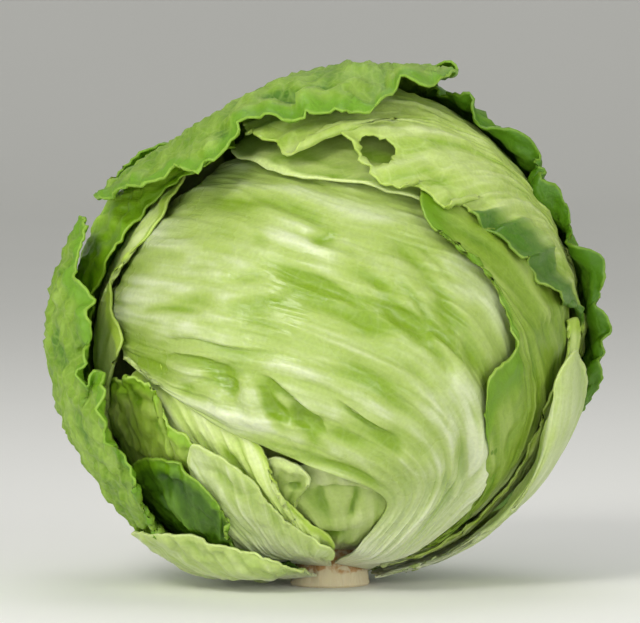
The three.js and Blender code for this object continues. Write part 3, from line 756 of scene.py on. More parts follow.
@dataclass(frozen=True)
class Leaf:
    """One leaf: veins from the stem to a waved, rolled edge, in degrees on the head and millimetres.

    root holds the middle longitude, half spread and the depths at its left and right. A point of a course
    or of the edge is longitude, latitude, depth, wave height and roll.
    """

    name: str
    slot: Slot
    finish: LeafFinish
    relief: Relief
    root: tuple[float, float, float, float]
    depth: float
    waves: int
    edge: Table
    courses: tuple[Table, ...] = ()
    columns: int = 140
    rows: int = 50
    crisp: float = 0.4
    flare: float = 0.0
    folds: tuple[Fold, ...] = ()
    tear: Tear | None = None
    curl: float = 0.86
    rim_by_wave: bool = False

    ROOT_LATITUDE = -80.0
    SIDE_SHARE = 0.25
    FRILL_START = 0.72
    CRISP_START = 0.84
    SCALLOP = 0.012
    LEAST_ROLL = 0.01
    PLAIN_WAVE = 0.3
    TOOTH = 0.003
    ROW_POWER = 1.25
    UNEVEN_WAVES = 1.4
    SWING = 0.75
    UNEVEN_SWING = 0.45
    CRIMPS = 2.2
    UNEVEN_CRIMPS = 3.0
    BLADE = 0.75
    RELIEF_FULL = 0.2
    NO_RIM = 60.0
    RIM_WAVES = (0.6, 1.1)

    def _course(self, points: Table) -> tuple[Array, Array]:
        """Directions of a course, and its depth, wave and roll."""
        full = [(*p, *(self.depth, self.PLAIN_WAVE, 0.0)[len(p) - 2:]) for p in points]
        table = np.array(full, float)
        trim = np.stack([table[:, 2], table[:, 3], np.radians(table[:, 4])], axis=1)
        return HEAD.direction(table[:, 0], table[:, 1]), trim

    def _veins(self, u: Array) -> tuple[Array, Array, Array]:
        """Stops of the veins.

        Args:
            u: Shares of the edge's length.

        Returns:
            Directions and depths, stop by stop, and the edge's depth, wave and roll.
        """
        middle, spread, left, right = self.root
        root = HEAD.direction(middle + spread * (2.0 * u - 1.0), np.full_like(u, self.ROOT_LATITUDE))
        root_depth = left + (right - left) * u
        path, trim = self._course(self.edge)
        s = by_length(path, u)
        edge, edge_trim = unit(through(path, s)), through(trim, s)
        dirs, depths = [root], [root_depth]
        for course in self.courses:
            path, trim = self._course(course)
            dirs.append(unit(through(path, u)))
            depths.append(through(trim, u)[:, 0])
        if not self.courses:
            inside = smooth(0.0, self.SIDE_SHARE, u) * smooth(0.0, self.SIDE_SHARE, 1.0 - u)
            for share in (1.0 / 3.0, 2.0 / 3.0):
                straight = root_depth + (edge_trim[:, 0] - root_depth) * share
                dirs.append(unit(root + (edge - root) * share))
                depths.append(straight + (self.depth - straight) * inside)
        stops = np.stack([*dirs, edge])
        return stops, np.stack([*depths, edge_trim[:, 0]])[..., None], edge_trim

    def _blade(self, u: Array, t: Array) -> tuple[Array, Array]:
        """Points of the blade with its edge waved, frilled and rolled.

        Args:
            u: Shares of the edge's length, one for each column.
            t: Shares of the veins, row by row.

        Returns:
            Points and outward normals, row by row.
        """
        stops, depths, trim = self._veins(u)
        wave, roll = trim[:, 1], trim[:, 2]
        seed = int(self.relief.seed * 10)
        phase = TURN * self.waves * u + self.UNEVEN_WAVES * wander(u, seed + 2, 1, 5)
        swing = self.SWING + self.UNEVEN_SWING * wander(u, seed + 5, 3, 9)
        ripple = wave * swing * smooth(self.FRILL_START, 1.0, t) * np.sin(phase)
        crimp = np.sin(self.CRIMPS * phase + self.UNEVEN_CRIMPS * wander(u, seed + 1, 2, 6))
        crimp = crimp * np.maximum(wander(u, seed + 6, 4, 11), 0.0)
        ripple = ripple + self.crisp * np.minimum(wave, 1.0) * smooth(self.CRISP_START, 1.0, t) * crimp
        lobes = np.maximum(wander(u, seed + 3, 3, 8), 0.0)
        ripple = ripple + self.flare * np.minimum(wave, 1.0) * smooth(self.FRILL_START, 1.0, t) * lobes
        reach = 1.0 - self.SCALLOP * wave * (0.5 + 0.5 * np.cos(phase))
        reach = reach - self.TOOTH * self.crisp * (1.0 + wander(u, seed + 4, 40, 120))

        def bare(shares: Array) -> tuple[Array, Array]:
            """Points and normals before the edge is waved."""
            dirs = unit(through(stops, shares))
            return HEAD.point(dirs, through(depths, shares)[..., 0]), HEAD.outward(dirs)

        points, normals = bare(t * reach)
        waved = points + normals * ripple[..., None]
        hinge, _ = bare(np.full_like(t[:1], self.curl))
        tip, _ = bare(reach[None, :])
        run = np.linalg.norm(tip - hinge, axis=-1, keepdims=True)
        along = (tip - hinge) / run
        up = unit(normals - along * np.sum(normals * along, axis=-1, keepdims=True))
        bend = np.maximum(roll, self.LEAST_ROLL)
        angle = (bend * (t - self.curl) / (1.0 - self.curl))[..., None]
        bend, lift = bend[:, None], ripple[..., None]
        rolled = hinge + along * (run * np.sin(angle) / bend - lift * np.sin(angle))
        rolled = rolled + up * (run * (1.0 - np.cos(angle)) / bend + lift * np.cos(angle))
        flat = (t <= self.curl) | (roll < self.LEAST_ROLL)
        return np.where(flat[..., None], waved, rolled), normals

    def build(self, relief_tree: ReliefTree, material: bpy.types.Material) -> bpy.types.Object:
        """The leaf as a closed, plain mesh.

        Args:
            relief_tree: Tree of folds and blisters.
            material: The leaf's material.

        Returns:
            The finished piece.
        """
        u = np.linspace(0.0, 1.0, self.columns)
        t = 1.0 - (1.0 - np.linspace(0.0, 1.0, self.rows)) ** self.ROW_POWER
        t = np.repeat(t[:, None], self.columns, axis=1)
        points, normals = self._blade(u, t)
        crease = np.zeros(t.shape)
        for fold in self.folds:
            crease = crease + fold.lift(points, normals)
        free = smooth(0.0, self.RELIEF_FULL, t)
        points = points + normals * (crease * free)[..., None]
        steps = np.linalg.norm(np.diff(points, axis=0), axis=-1)
        along = np.concatenate([np.zeros((1, self.columns)), np.cumsum(steps, axis=0)])
        width = np.linalg.norm(np.diff(points[-1], axis=0), axis=-1).sum()
        across = np.broadcast_to((u - 0.5) * width, t.shape)
        flow = np.stack([across, along, np.full(t.shape, self.relief.seed)], axis=-1)
        points = points.reshape(-1, 3)
        faces = grid_faces(self.rows, self.columns)
        rim = along[-1] - along
        lip = rim.ravel()
        if self.tear:
            faces = self.tear.cut(points, faces)
            lip = np.minimum(lip, np.maximum(self.tear.distance(points), 0.0))
        # Keeps the rim colour to the waved stretch of the edge; on the top right leaf that dark rim band is
        # partly painted shade on the rolled margin.
        if self.rim_by_wave:
            rim = rim + self.NO_RIM * (1.0 - smooth(*self.RIM_WAVES, self._veins(u)[2][:, 1]))
        # The fold heights go to the shader as crease, where they paint shade into the valleys and light onto
        # the ridges.
        attributes = {
            "flow": flow.reshape(-1, 3), "free": free.ravel(), "crease": crease.ravel(), "share": t.ravel(),
            "rim": rim.ravel(), "lip": lip,
        }
        piece = sheet_object(self.name + "_blade", points, faces, attributes)
        relief_tree.put_on(piece, self.relief, material)
        shell = piece.modifiers.new("thickness", "SOLIDIFY")
        shell.thickness = self.BLADE * MM
        shell.offset = -1.0
        made_plain(piece)
        return self._place(piece)

    def _place(self, piece: bpy.types.Object) -> bpy.types.Object:
        """Puts the piece in the leaf's place on the head."""
        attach(piece, BODY)
        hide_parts(self.name)
        return piece


def welded(piece: bpy.types.Object) -> None:
    """Closes the poles of a turned piece by merging the vertices that meet there."""
    work = bmesh.new()
    work.from_mesh(piece.data)
    bmesh.ops.remove_doubles(work, verts=work.verts, dist=1e-7)
    work.to_mesh(piece.data)
    work.free()


@dataclass(frozen=True)
class Heart:
    """The dense middle of the head, a ball with the low folds of its tight leaves."""

    finish: LeafFinish
    relief: Relief
    depth: float = 24.0
    folds: int = 5
    fold_height: float = 0.9
    twist: float = 2.2
    rows: int = 70
    columns: int = 140

    # Lowers the heart's crease values so that its colour leans to the valley green: painted shade over the
    # whole heart.
    SUNK_SHADE = 0.3
    NO_RIM = 50.0

    def build(self, relief_tree: ReliefTree, material: bpy.types.Material) -> bpy.types.Object:
        """The heart as a closed, plain mesh.

        Args:
            relief_tree: Tree of folds and blisters.
            material: The heart's material.

        Returns:
            The finished piece.
        """
        lat = np.linspace(-90.0, 90.0, self.rows)[:, None] + np.zeros((1, self.columns))
        lon = np.linspace(0.0, 360.0, self.columns, endpoint=False)[None, :] + np.zeros((self.rows, 1))
        dirs = HEAD.direction(lon, lat)
        upright = np.hypot(dirs[..., 0], dirs[..., 1])
        fold = self.fold_height * upright * np.sin(self.folds * np.radians(lon) + self.twist * dirs[..., 2])
        points = HEAD.point(dirs, self.depth - fold).reshape(-1, 3)
        share = (lat / 180.0 + 0.5).ravel()
        flow = np.stack([points[:, 0], points[:, 2], points[:, 1]], axis=1)
        no_rim = np.full(share.shape, self.NO_RIM)
        # The heart's folds, lowered by the sunk offset, paint shade into its colour along their valleys.
        attributes = {
            "flow": flow, "free": upright.ravel(), "crease": fold.ravel() - self.SUNK_SHADE, "share": share,
            "rim": no_rim, "lip": no_rim,
        }
        faces = grid_faces(self.rows, self.columns, closed=True)
        piece = sheet_object("heart_ball", points, faces, attributes)
        welded(piece)
        relief_tree.put_on(piece, self.relief, material)
        made_plain(piece)
        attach(piece, BODY)
        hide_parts("heart")
        return piece


@dataclass(frozen=True)
class StemFinish:
    """Tan cut stem with a browned rim and fibres, colours linear."""

    name: str = "cut_stem"
    flesh: Colour = (0.72, 0.62, 0.4)
    scar: Colour = (0.5, 0.25, 0.07)
    pith: Colour = (0.8, 0.75, 0.56)

    MOTTLE_SCALE = 0.45
    MOTTLE_SHIFT = (3.0, -1.5)
    FIBRE_SCALES = (1.6, 1.6, 0.12)
    PITH_RADII = (3.0, 9.0)
    RING_RADIUS = 8.2
    RING_WIDTH = 0.9
    RING_SHARE = 0.45
    SCAR_SHIFT = (4.0, -2.0)
    SCAR_HEIGHTS = (4.2, 5.6)
    SCAR_MOTTLE = (0.35, 0.6)
    SCAR_SHARE = 0.9
    FIBRE_LEVELS = (0.5, 0.75)
    FIBRE_SHARE = 0.4
    BUMP = 0.6
    BUMP_DEPTH = 0.5
    MOTTLE_HEIGHT = 0.6
    MOTTLE_ROUGHNESS = (0.3, 0.5)
    GLOW = 0.15
    GLOW_RADIUS = (1.0, 0.7, 0.3)
    GLOW_DEPTH = 1.5

    def material(self) -> bpy.types.Material:
        """The finish as a material: pith rings on the cut, fibres up the side and a browned rim."""
        made = bpy.data.materials.new(self.name)
        made.use_nodes = True
        wiring = Wiring(made.node_tree)
        shader = made.node_tree.nodes["Principled BSDF"]
        place = wiring.scaled(wiring.add("ShaderNodeTexCoord").outputs["Object"], 1.0 / MM)
        apart = wiring.add("ShaderNodeSeparateXYZ")
        wiring.feed(apart.inputs[0], place)
        flat = wiring.add("ShaderNodeCombineXYZ")
        wiring.feed(flat.inputs[0], apart.outputs[0])
        wiring.feed(flat.inputs[1], apart.outputs[1])
        length = wiring.add("ShaderNodeVectorMath", operation="LENGTH")
        wiring.feed(length.inputs[0], flat.outputs[0])
        radius = length.outputs["Value"]
        mottle = wiring.noise(place, self.MOTTLE_SCALE, 4.0, 0.5)
        fibres = wiring.noise(wiring.vector("MULTIPLY", place, self.FIBRE_SCALES), 1.0, 3.0)
        flesh, brown, pith = ((*tone, 1.0) for tone in (self.flesh, self.scar, self.pith))
        shaken = wiring.math("ADD", radius, wiring.math("MULTIPLY_ADD", mottle, *self.MOTTLE_SHIFT))
        colour = wiring.mix(wiring.ramp(shaken, *self.PITH_RADII), pith, flesh)
        band = wiring.math("ABSOLUTE", wiring.math("SUBTRACT", shaken, self.RING_RADIUS))
        ring = wiring.math("SUBTRACT", 1.0, wiring.ramp(band, 0.0, self.RING_WIDTH))
        colour = wiring.mix(wiring.math("MULTIPLY", ring, self.RING_SHARE), colour, brown)
        upper = wiring.math("MULTIPLY_ADD", mottle, *self.SCAR_SHIFT)
        upper = wiring.ramp(wiring.math("ADD", apart.outputs[2], upper), *self.SCAR_HEIGHTS)
        scar = wiring.math("MULTIPLY", upper, wiring.ramp(mottle, *self.SCAR_MOTTLE))
        colour = wiring.mix(wiring.math("MULTIPLY", scar, self.SCAR_SHARE), colour, brown)
        strands = wiring.math("MULTIPLY", wiring.ramp(fibres, *self.FIBRE_LEVELS), self.FIBRE_SHARE)
        colour = wiring.mix(strands, colour, pith)
        bump = wiring.add("ShaderNodeBump")
        bump.inputs["Strength"].default_value = self.BUMP
        bump.inputs["Distance"].default_value = self.BUMP_DEPTH * MM
        height = wiring.math("ADD", fibres, wiring.math("MULTIPLY", mottle, self.MOTTLE_HEIGHT))
        wiring.feed(bump.inputs["Height"], height)
        wiring.feed(shader.inputs["Base Color"], colour)
        rough = wiring.math("MULTIPLY_ADD", mottle, *self.MOTTLE_ROUGHNESS)
        wiring.feed(shader.inputs["Roughness"], rough)
        wiring.feed(shader.inputs["Normal"], bump.outputs[0])
        shader.inputs["Subsurface Weight"].default_value = self.GLOW
        shader.inputs["Subsurface Radius"].default_value = self.GLOW_RADIUS
        shader.inputs["Subsurface Scale"].default_value = self.GLOW_DEPTH * MM
        return made


@dataclass(frozen=True)
class Stem:
    """The cut stub under the head, in millimetres."""

    finish: StemFinish
    profile: Table = (
        (0.0, 0.0), (4.0, 0.0), (8.0, 0.0), (11.2, 0.0), (11.8, 0.25), (12.2, 0.9), (12.1, 2.5), (11.8, 5.0),
        (11.2, 8.0), (10.4, 13.0), (9.6, 19.0), (9.0, 24.5), (6.0, 24.5), (0.0, 24.5),
    )
    columns: int = 96
    uneven: float = 0.25

    STEPS = 4
    SIDE_HEIGHTS = (0.3, 2.0)
    SIDE_RADII = (6.0, 9.0)
    FINE_BUMPS = 0.5

    def build(self) -> bpy.types.Object:
        """The stem as a closed mesh, a little uneven up its side."""
        turn = np.linspace(0.0, 1.0, self.columns, endpoint=False)
        table = through(np.array(self.profile), np.linspace(0.0, 1.0, self.STEPS * len(self.profile)))
        lower = np.maximum(table[:, 1], 0.0)
        side = smooth(*self.SIDE_HEIGHTS, lower)[:, None] * smooth(*self.SIDE_RADII, table[:, 0])[:, None]
        bumps = wander(turn, 3, 2, 9)[None, :] + self.FINE_BUMPS * wander(turn, 4, 9, 22)[None, :]
        radius = np.maximum(table[:, :1], 0.0) - self.uneven * side * (1.0 + bumps)
        lon = TURN * turn[None, :]
        height = lower[:, None] + np.zeros_like(radius)
        points = np.stack([radius * np.sin(lon), -radius * np.cos(lon), height], axis=-1)
        faces = grid_faces(len(table), self.columns, closed=True)
        piece = sheet_object("stem_stub", points.reshape(-1, 3), faces, {})
        welded(piece)
        piece.data.materials.append(self.finish.material())
        piece.data.shade_smooth()
        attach(piece, BODY)
        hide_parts("stem")
        return piece


@dataclass(frozen=True)
class Lamp:
    """A soft square light, in metres and watts."""

    name: str
    place: tuple[float, float, float]
    size: float
    power: float
    colour: Colour = (1.0, 1.0, 1.0)

    def build(self, aim: Vector) -> bpy.types.Object:
        """The light, turned to its aim."""
        data = bpy.data.lights.new(self.name, "AREA")
        data.size = self.size
        data.energy = self.power
        data.color = self.colour
        lamp = bpy.data.objects.new(self.name, data)
        lamp.location = self.place
        lamp.rotation_euler = (aim - Vector(self.place)).to_track_quat("-Z", "Y").to_euler()
        bpy.context.scene.collection.objects.link(lamp)
        return lamp


@dataclass(frozen=True)
class Studio:
    """Pale floor that sweeps up behind, soft lights and the camera, in metres and degrees."""

    aim: tuple[float, float, float] = (-0.003, 0.0, 0.0831)
    frame_width: float = 0.1943
    lens: float = 300.0
    sensor: float = 36.0
    elevation: float = 3.0
    floor_tone: Colour = (0.9, 0.9, 0.88)
    air: Colour = (1.0, 1.0, 0.96)
    air_strength: float = 0.42
    lamps: tuple[Lamp, ...] = (
        Lamp("key", (-0.5, -1.0, 0.85), 0.4, 7.5, (1.0, 0.98, 0.94)),
        Lamp("fill", (0.85, -1.0, 0.4), 0.7, 5.5),
        Lamp("side", (-1.1, -0.85, 0.35), 0.5, 4.0),
        Lamp("crown", (0.1, 0.35, 1.1), 0.7, 2.5),
        Lamp("low", (-0.1, -1.3, 0.12), 0.5, 2.5),
    )

    LAMP_AIM = (0.0, 0.0, 0.085)
    FLOOR_SIDE = 6.0
    FLOOR_FRONT = -5.0
    BEND_START = 3.4
    BEND_RADIUS = 0.8
    BEND_STEPS = 17
    WALL_PLACE = 4.2
    WALL_HEIGHT = 5.0
    CLOUD_SCALE = 3.0
    CLOUD_SHADE = 0.97
    FLOOR_ROUGHNESS = 0.75
    CLIP_END = 50.0

    def build(self) -> None:
        """Floor, light, air and camera."""
        self._floor()
        for lamp in self.lamps:
            lamp.build(Vector(self.LAMP_AIM))
        world = bpy.data.worlds.new("air")
        world.use_nodes = True
        background = world.node_tree.nodes["Background"]
        background.inputs["Color"].default_value = (*self.air, 1.0)
        background.inputs["Strength"].default_value = self.air_strength
        bpy.context.scene.world = world
        bpy.context.scene.view_settings.view_transform = "Standard"
        self._camera()

    def _floor(self) -> None:
        """A wide sheet that curves up into a backdrop."""
        start, radius, side = self.BEND_START, self.BEND_RADIUS, self.FLOOR_SIDE
        turn = np.linspace(0.0, math.pi / 2.0, self.BEND_STEPS)
        bend = [(start + radius * math.sin(a), radius - radius * math.cos(a)) for a in turn]
        profile = [(self.FLOOR_FRONT, 0.0), *bend, (self.WALL_PLACE, self.WALL_HEIGHT)]
        points = np.array([[(x, y, z) for x in (-side, side)] for y, z in profile]) / MM
        floor = sheet_object("floor_sweep", points.reshape(-1, 3), grid_faces(len(profile), 2), {})
        floor.data.shade_smooth()
        tone = bpy.data.materials.new("floor_paint")
        tone.use_nodes = True
        wiring = Wiring(tone.node_tree)
        shader = tone.node_tree.nodes["Principled BSDF"]
        place = wiring.add("ShaderNodeTexCoord").outputs["Object"]
        cloud = wiring.noise(place, self.CLOUD_SCALE, 2.0)
        light, dark = ((*(shade * c for c in self.floor_tone), 1.0) for shade in (1.0, self.CLOUD_SHADE))
        wiring.feed(shader.inputs["Base Color"], wiring.mix(cloud, light, dark))
        shader.inputs["Roughness"].default_value = self.FLOOR_ROUGHNESS
        floor.data.materials.append(tone)

    def _camera(self) -> None:
        """The camera, level with the head as in the photo."""
        data = bpy.data.cameras.new("front_camera")
        data.lens = self.lens
        data.sensor_width = self.sensor
        data.clip_end = self.CLIP_END
        camera = bpy.data.objects.new("front_camera", data)
        rise = math.radians(self.elevation)
        away = self.lens / self.sensor * self.frame_width
        aim = Vector(self.aim)
        camera.location = aim + away * Vector((0.0, -math.cos(rise), math.sin(rise)))
        camera.rotation_euler = (aim - camera.location).to_track_quat("-Z", "Y").to_euler()
        bpy.context.scene.collection.objects.link(camera)
        bpy.context.scene.camera = camera


CREAM = LeafFinish(
    "cream_leaf", vein=(0.614, 0.679, 0.419), blade=(0.372, 0.484, 0.121), valley=(0.214, 0.344, 0.0186),
    stalk=(0.686, 0.704, 0.546), rim=(0.6, 0.72, 0.26), lip=(0.62, 0.72, 0.34), stalk_reach=0.55,
    rim_width=3.0, web_share=0.06, roughness=0.3,
)
PALE_RIB = LeafFinish(
    "pale_ribbed_leaf", vein=(0.66, 0.73, 0.45), blade=(0.43, 0.54, 0.17), valley=(0.28, 0.42, 0.05),
    stalk=(0.76, 0.78, 0.6), rim=(0.48, 0.6, 0.18), lip=(0.62, 0.72, 0.34), stalk_reach=0.75, rim_width=3.0,
    web_share=0.1, roughness=0.38,
)
HEART_PALE = LeafFinish(
    "pale_heart_leaf", vein=(0.482, 0.559, 0.241), blade=(0.344, 0.447, 0.112), valley=(0.189, 0.31, 0.0258),
    stalk=(0.7, 0.75, 0.5), rim=(0.58, 0.7, 0.26), lip=(0.64, 0.74, 0.34), stalk_reach=0.3, rim_width=3.0,
    web_share=0.08,
)
FRESH_PALE = LeafFinish(
    "fresh_pale_leaf", vein=(0.7, 0.8, 0.38), blade=(0.56, 0.7, 0.2), valley=(0.28, 0.44, 0.025),
    stalk=(0.68, 0.74, 0.46), rim=(0.4, 0.57, 0.06), lip=(0.56, 0.68, 0.22), rim_width=5.0, web_share=0.12,
)
FRESH_GREEN = LeafFinish(
    "fresh_green_leaf", vein=(0.425, 0.527, 0.145), blade=(0.264, 0.391, 0.0425),
    valley=(0.136, 0.264, 0.0068), stalk=(0.66, 0.72, 0.42), rim=(0.22, 0.4, 0.015), lip=(0.5, 0.64, 0.16),
    rim_width=7.0, web_share=0.15,
)
# Side leaf in shade: its darker greens and wide dark rim are partly its own colour and partly painted shade.
SHADED = LeafFinish(
    "side_leaf", vein=(0.336, 0.448, 0.096), blade=(0.2, 0.32, 0.02), valley=(0.104, 0.216, 0.0032),
    stalk=(0.62, 0.68, 0.38), rim=(0.13, 0.27, 0.005), lip=(0.4, 0.55, 0.1), stalk_reach=0.6, rim_width=13.0,
    web_share=0.15,
)
# The crown leaf's wide, near-black rim is partly the margin's own deep green and partly painted shade on its
# rolled-out band.
CROWN = LeafFinish(
    "crown_leaf", vein=(0.6, 0.7, 0.3), blade=(0.4, 0.53, 0.11), valley=(0.24, 0.4, 0.02),
    stalk=(0.66, 0.72, 0.44), rim=(0.045, 0.15, 0.001), lip=(0.4, 0.55, 0.08), rim_width=26.0, web_share=0.2,
)
BRIGHT = LeafFinish(
    "bright_green_leaf", vein=(0.36, 0.55, 0.06), blade=(0.22, 0.42, 0.006), valley=(0.09, 0.24, 0.002),
    stalk=(0.56, 0.67, 0.28), rim=(0.16, 0.33, 0.004), lip=(0.4, 0.57, 0.08), rim_width=8.0, web_share=0.3,
)
LUSH = LeafFinish(
    "lush_leaf", vein=(0.0975, 0.21, 0.0112), blade=(0.0413, 0.112, 0.0015), valley=(0.0225, 0.075, 0.00075),
    stalk=(0.52, 0.62, 0.22), rim=(0.13, 0.28, 0.006), lip=(0.42, 0.58, 0.1), rim_width=5.0, web_share=0.2,
)
OUTER = LeafFinish(
    "outer_leaf", vein=(0.31, 0.46, 0.08), blade=(0.18, 0.32, 0.015), valley=(0.075, 0.19, 0.005),
    stalk=(0.55, 0.64, 0.32), rim=(0.14, 0.31, 0.01), lip=(0.36, 0.53, 0.08), rim_width=8.0, web_share=0.4,
    roughness=0.5,
)
DEEP = LeafFinish(
    "deep_green_leaf", vein=(0.15, 0.3, 0.02), blade=(0.075, 0.19, 0.003), valley=(0.03, 0.11, 0.001),
    stalk=(0.5, 0.6, 0.26), rim=(0.065, 0.18, 0.002), lip=(0.3, 0.48, 0.05), rim_width=8.0, web_share=0.4,
    roughness=0.44,
)
HEART_YELLOW = LeafFinish(
    "heart_leaves", vein=(0.7, 0.76, 0.4), blade=(0.56, 0.66, 0.22), valley=(0.34, 0.47, 0.06),
    stalk=(0.74, 0.77, 0.52), rim=(0.6, 0.7, 0.28), lip=(0.6, 0.7, 0.3), rim_width=1.0, web_share=0.1,
)

FRONT_FOLDS = (
    Fold(VALLEY, ((-30, 16), (-25.5, 16), (-18, 16), (-14, 16)), 0.85, 2.25),
    Fold(VALLEY, ((-17, 17.5), (-12.5, 16.5), (-5, 15), (1, 13), (4.5, 12)), 1.1, 2.25),
    Fold(VALLEY, ((-14.5, 12), (-11, 11.5), (-5, 11), (1, 10), (4, 9.5)), 0.68, 1.88),
    Fold(VALLEY, ((-6.5, 25.5), (-4, 26), (0.5, 27), (3.5, 27.5)), 1.53, 2.25),
    Fold(VALLEY, ((12, 8), (15, 6), (20, 2.5), (24, -2), (27, -4.5)), 1.27, 2.4),
    Fold(VALLEY, ((23, -0.5), (24.5, -2.5), (27.5, -6), (30.5, -9.5), (32.5, -11.5)), 1.36, 2.25),
    Fold(VALLEY, ((23, 11.5), (24.5, 9), (28, 4.5), (31, -0.5), (33, -3.5)), 0.85, 3.38),
    Fold(VALLEY, ((32, 0.5), (33.5, -1.5), (35.5, -5), (37.5, -8.5), (38.5, -10.5)), 0.85, 1.88),
    Fold(VALLEY, ((-5, -6), (0, -7.5), (8, -9.5), (17.5, -17.5), (24.5, -22.5)), 1.36, 3.38),
    Fold(VALLEY, ((34, -22.5), (37.5, -28.5), (42, -36), (50, -46.5)), 1.4, 2.2, 11),
    Fold(VALLEY, ((34, -36), (38.5, -41.5), (44, -49.5)), 1, 2, 9),
    Fold(VALLEY, ((10.5, -22.5), (12.5, -24), (16, -26.5), (19, -29.5), (21.5, -31.5)), 1.02, 2.25),
    Fold(VALLEY, ((-49.5, 39), (-40, 39), (-27, 39.5), (-13, 37), (-6, 35.5)), 0.59, 3),
    Fold(VALLEY, ((-19, 39.5), (-14, 38), (-7, 35), (-2, 31), (1, 29)), 0.77, 3),
    Fold(VALLEY, ((-22.5, 30.5), (-19.5, 26.5), (-17.5, 23)), 0.7, 2),
    Fold(VALLEY, ((-29.5, 7), (-25.5, 7.5), (-19.5, 8.5), (-10.5, 9), (-5.5, 9)), 0.85, 2.25),
    Fold(VALLEY, ((-45, 8.5), (-41, 8.5), (-35, 9), (-29, 8.5), (-26, 8.5)), 0.68, 2.25),
    Fold(VALLEY, ((-59, 3.5), (-54.5, 5), (-47, 6.5), (-32.5, 6), (-29, 7)), 1, 1.2),
    Fold(VALLEY, ((-14.5, 16), (-6.5, 14), (1, 11.5), (4, 10), (9.5, 5.5), (13, 2.5)), 0.9, 1.2),
    Fold(VALLEY, ((12, 19.5), (18.5, 12.5), (24.5, 3), (30, -3), (33.5, -7)), 0.8, 1.1),
    Fold(VALLEY, ((21.5, 26.5), (27, 20.5), (30, 16), (31, 13), (34.5, 10.5)), 0.6, 1),
    Fold(VALLEY, ((25, 10.5), (30.5, 6), (37, 0.5)), 0.8, 1.1),
    Fold(RIDGE, ((22.5, 4.5), (28, -4), (35.5, -13.5), (43.5, -22.5)), 1.2, 3.5),
    Fold(RIDGE, ((36.5, -13.5), (43.5, -27), (50, -37.5), (55, -47), (53, -54)), 2.4, 4, 9),
    Fold(RIDGE, ((15, -23), (19, -28.5), (27, -34), (37.5, -37)), 1, 3, 13),
    Fold(LEDGE, ((-51.5, -4.5), (-45.5, -2), (-37, -0.5), (-29.5, -1.5), (-22, -3), (-9.5, -3.5)), 2.2, 3.5),
    Fold(
        LEDGE, ((-53.5, -7), (-45.5, -6), (-38, -5.5), (-31, -6), (-27.5, -7.5), (-22.5, -6.5), (-18.5, -8)),
        1.5, 4,
    ),
    Fold(LEDGE, ((-18, -9.5), (-14.5, -10), (-11.5, -12), (-7, -16), (-3, -19.5), (0, -25)), 4.2, 6),
    Fold(LEDGE, ((-0.5, -13), (4, -17), (10.5, -21.5), (16.5, -25.5)), 2.4, 3.4),
    Fold(VALLEY, ((-31, -8), (-26.5, -10), (-23.5, -13.5), (-22.5, -17)), 2.2, 2.2),
    Fold(VALLEY, ((-41, -15.5), (-36.5, -13), (-32, -11.5), (-28.5, -10.5)), 1.2, 2),
    Fold(VALLEY, ((-19, -10), (-15.5, -14.5), (-12.5, -19.5), (-11.5, -25)), 2.2, 2.3),
    Fold(RIDGE, ((-22.5, -9), (-19.5, -14.5), (-18, -20.5), (-18, -25.5)), 2, 3),
    Fold(RIDGE, ((-47, -9.5), (-38, -9.5), (-33.5, -11.5), (-30.5, -14.5)), 2.2, 3.4),
    Fold(RIDGE, ((-32, -14.5), (-27.5, -17.5), (-24, -22), (-23.5, -26)), 1.6, 2.6),
    Fold(VALLEY, ((-10, -15), (-7, -19.5), (-4, -25), (-2.5, -29)), 1.6, 2.2),
    Fold(RIDGE, ((-14.5, -12.5), (-9.5, -18), (-7, -23.5)), 1.4, 3),
    Fold(VALLEY, ((14.5, 30), (18, 25), (24, 17), (28, 10), (30.5, 4), (32.5, 0)), 0.94, 2.55),
    Fold(VALLEY, ((-15.5, 7.5), (-10.5, 7.5), (-2.5, 8), (5, 5.5), (11.5, 2), (15.5, -0.5)), 0.85, 2.55),
    Fold(VALLEY, ((0.5, 25.5), (5, 20.5), (12, 13), (17, 5), (21, -1), (23.5, -4.5)), 0.77, 2.4),
    Fold(VALLEY, ((-8, -26.5), (-5.5, -27), (-1.5, -28), (1, -28.5)), 0.68, 2.25),
    Fold(VALLEY, ((-0.5, -22), (2, -23.5), (6.5, -26), (9.5, -28)), 0.68, 1.88),
    Fold(RIDGE, ((-16, -30.5), (-8, -32.5), (1, -34.5), (12, -39)), 1, 1.8),
    Fold(VALLEY, ((-10.5, -29), (-2.5, -31.5), (6, -34), (17, -41)), 0.9, 1.6),
)
CROWN_FOLDS = (
    Fold(VALLEY, ((-40.5, 63.5), (-29, 66), (-12, 65), (4, 67.5)), 4.4, 3.2, -0.5),
    Fold(RIDGE, ((-28.5, 59.5), (-14.5, 59.5), (-1.5, 62), (10.5, 65), (34.5, 70)), 2.6, 2.6, -0.5),
    Fold(RIDGE, ((5.5, 73.5), (22, 74.5), (40.5, 74)), 3, 4, -0.5),
    Fold(VALLEY, ((-49, 52.5), (-36.5, 49.5), (-31, 50.5)), 1.2, 3, -0.5),
    Fold(RIDGE, ((-49.5, 44), (-44, 47), (-36.5, 51)), 1.2, 4, -0.5),
    Fold(VALLEY, ((-26, 56.5), (-17, 57), (-7.5, 57.5)), 1.2, 3, -0.5),
)
RIGHT_FOLDS = (
    Fold(LEDGE, ((54.5, 0.5), (60.5, 2.5), (69, 5)), 1.6, 2.5, 11.6),
    Fold(VALLEY, ((53, -2), (56, -9.5), (60, -15.5)), 1, 1.4, 11.6),
    Fold(VALLEY, ((49.5, -21.5), (52.5, -27.5), (57, -34.5)), 1, 1.6, 11.6),
    Fold(RIDGE, ((47.5, -9), (50, -19), (52, -27.5)), 0.8, 3, 11.6),
)
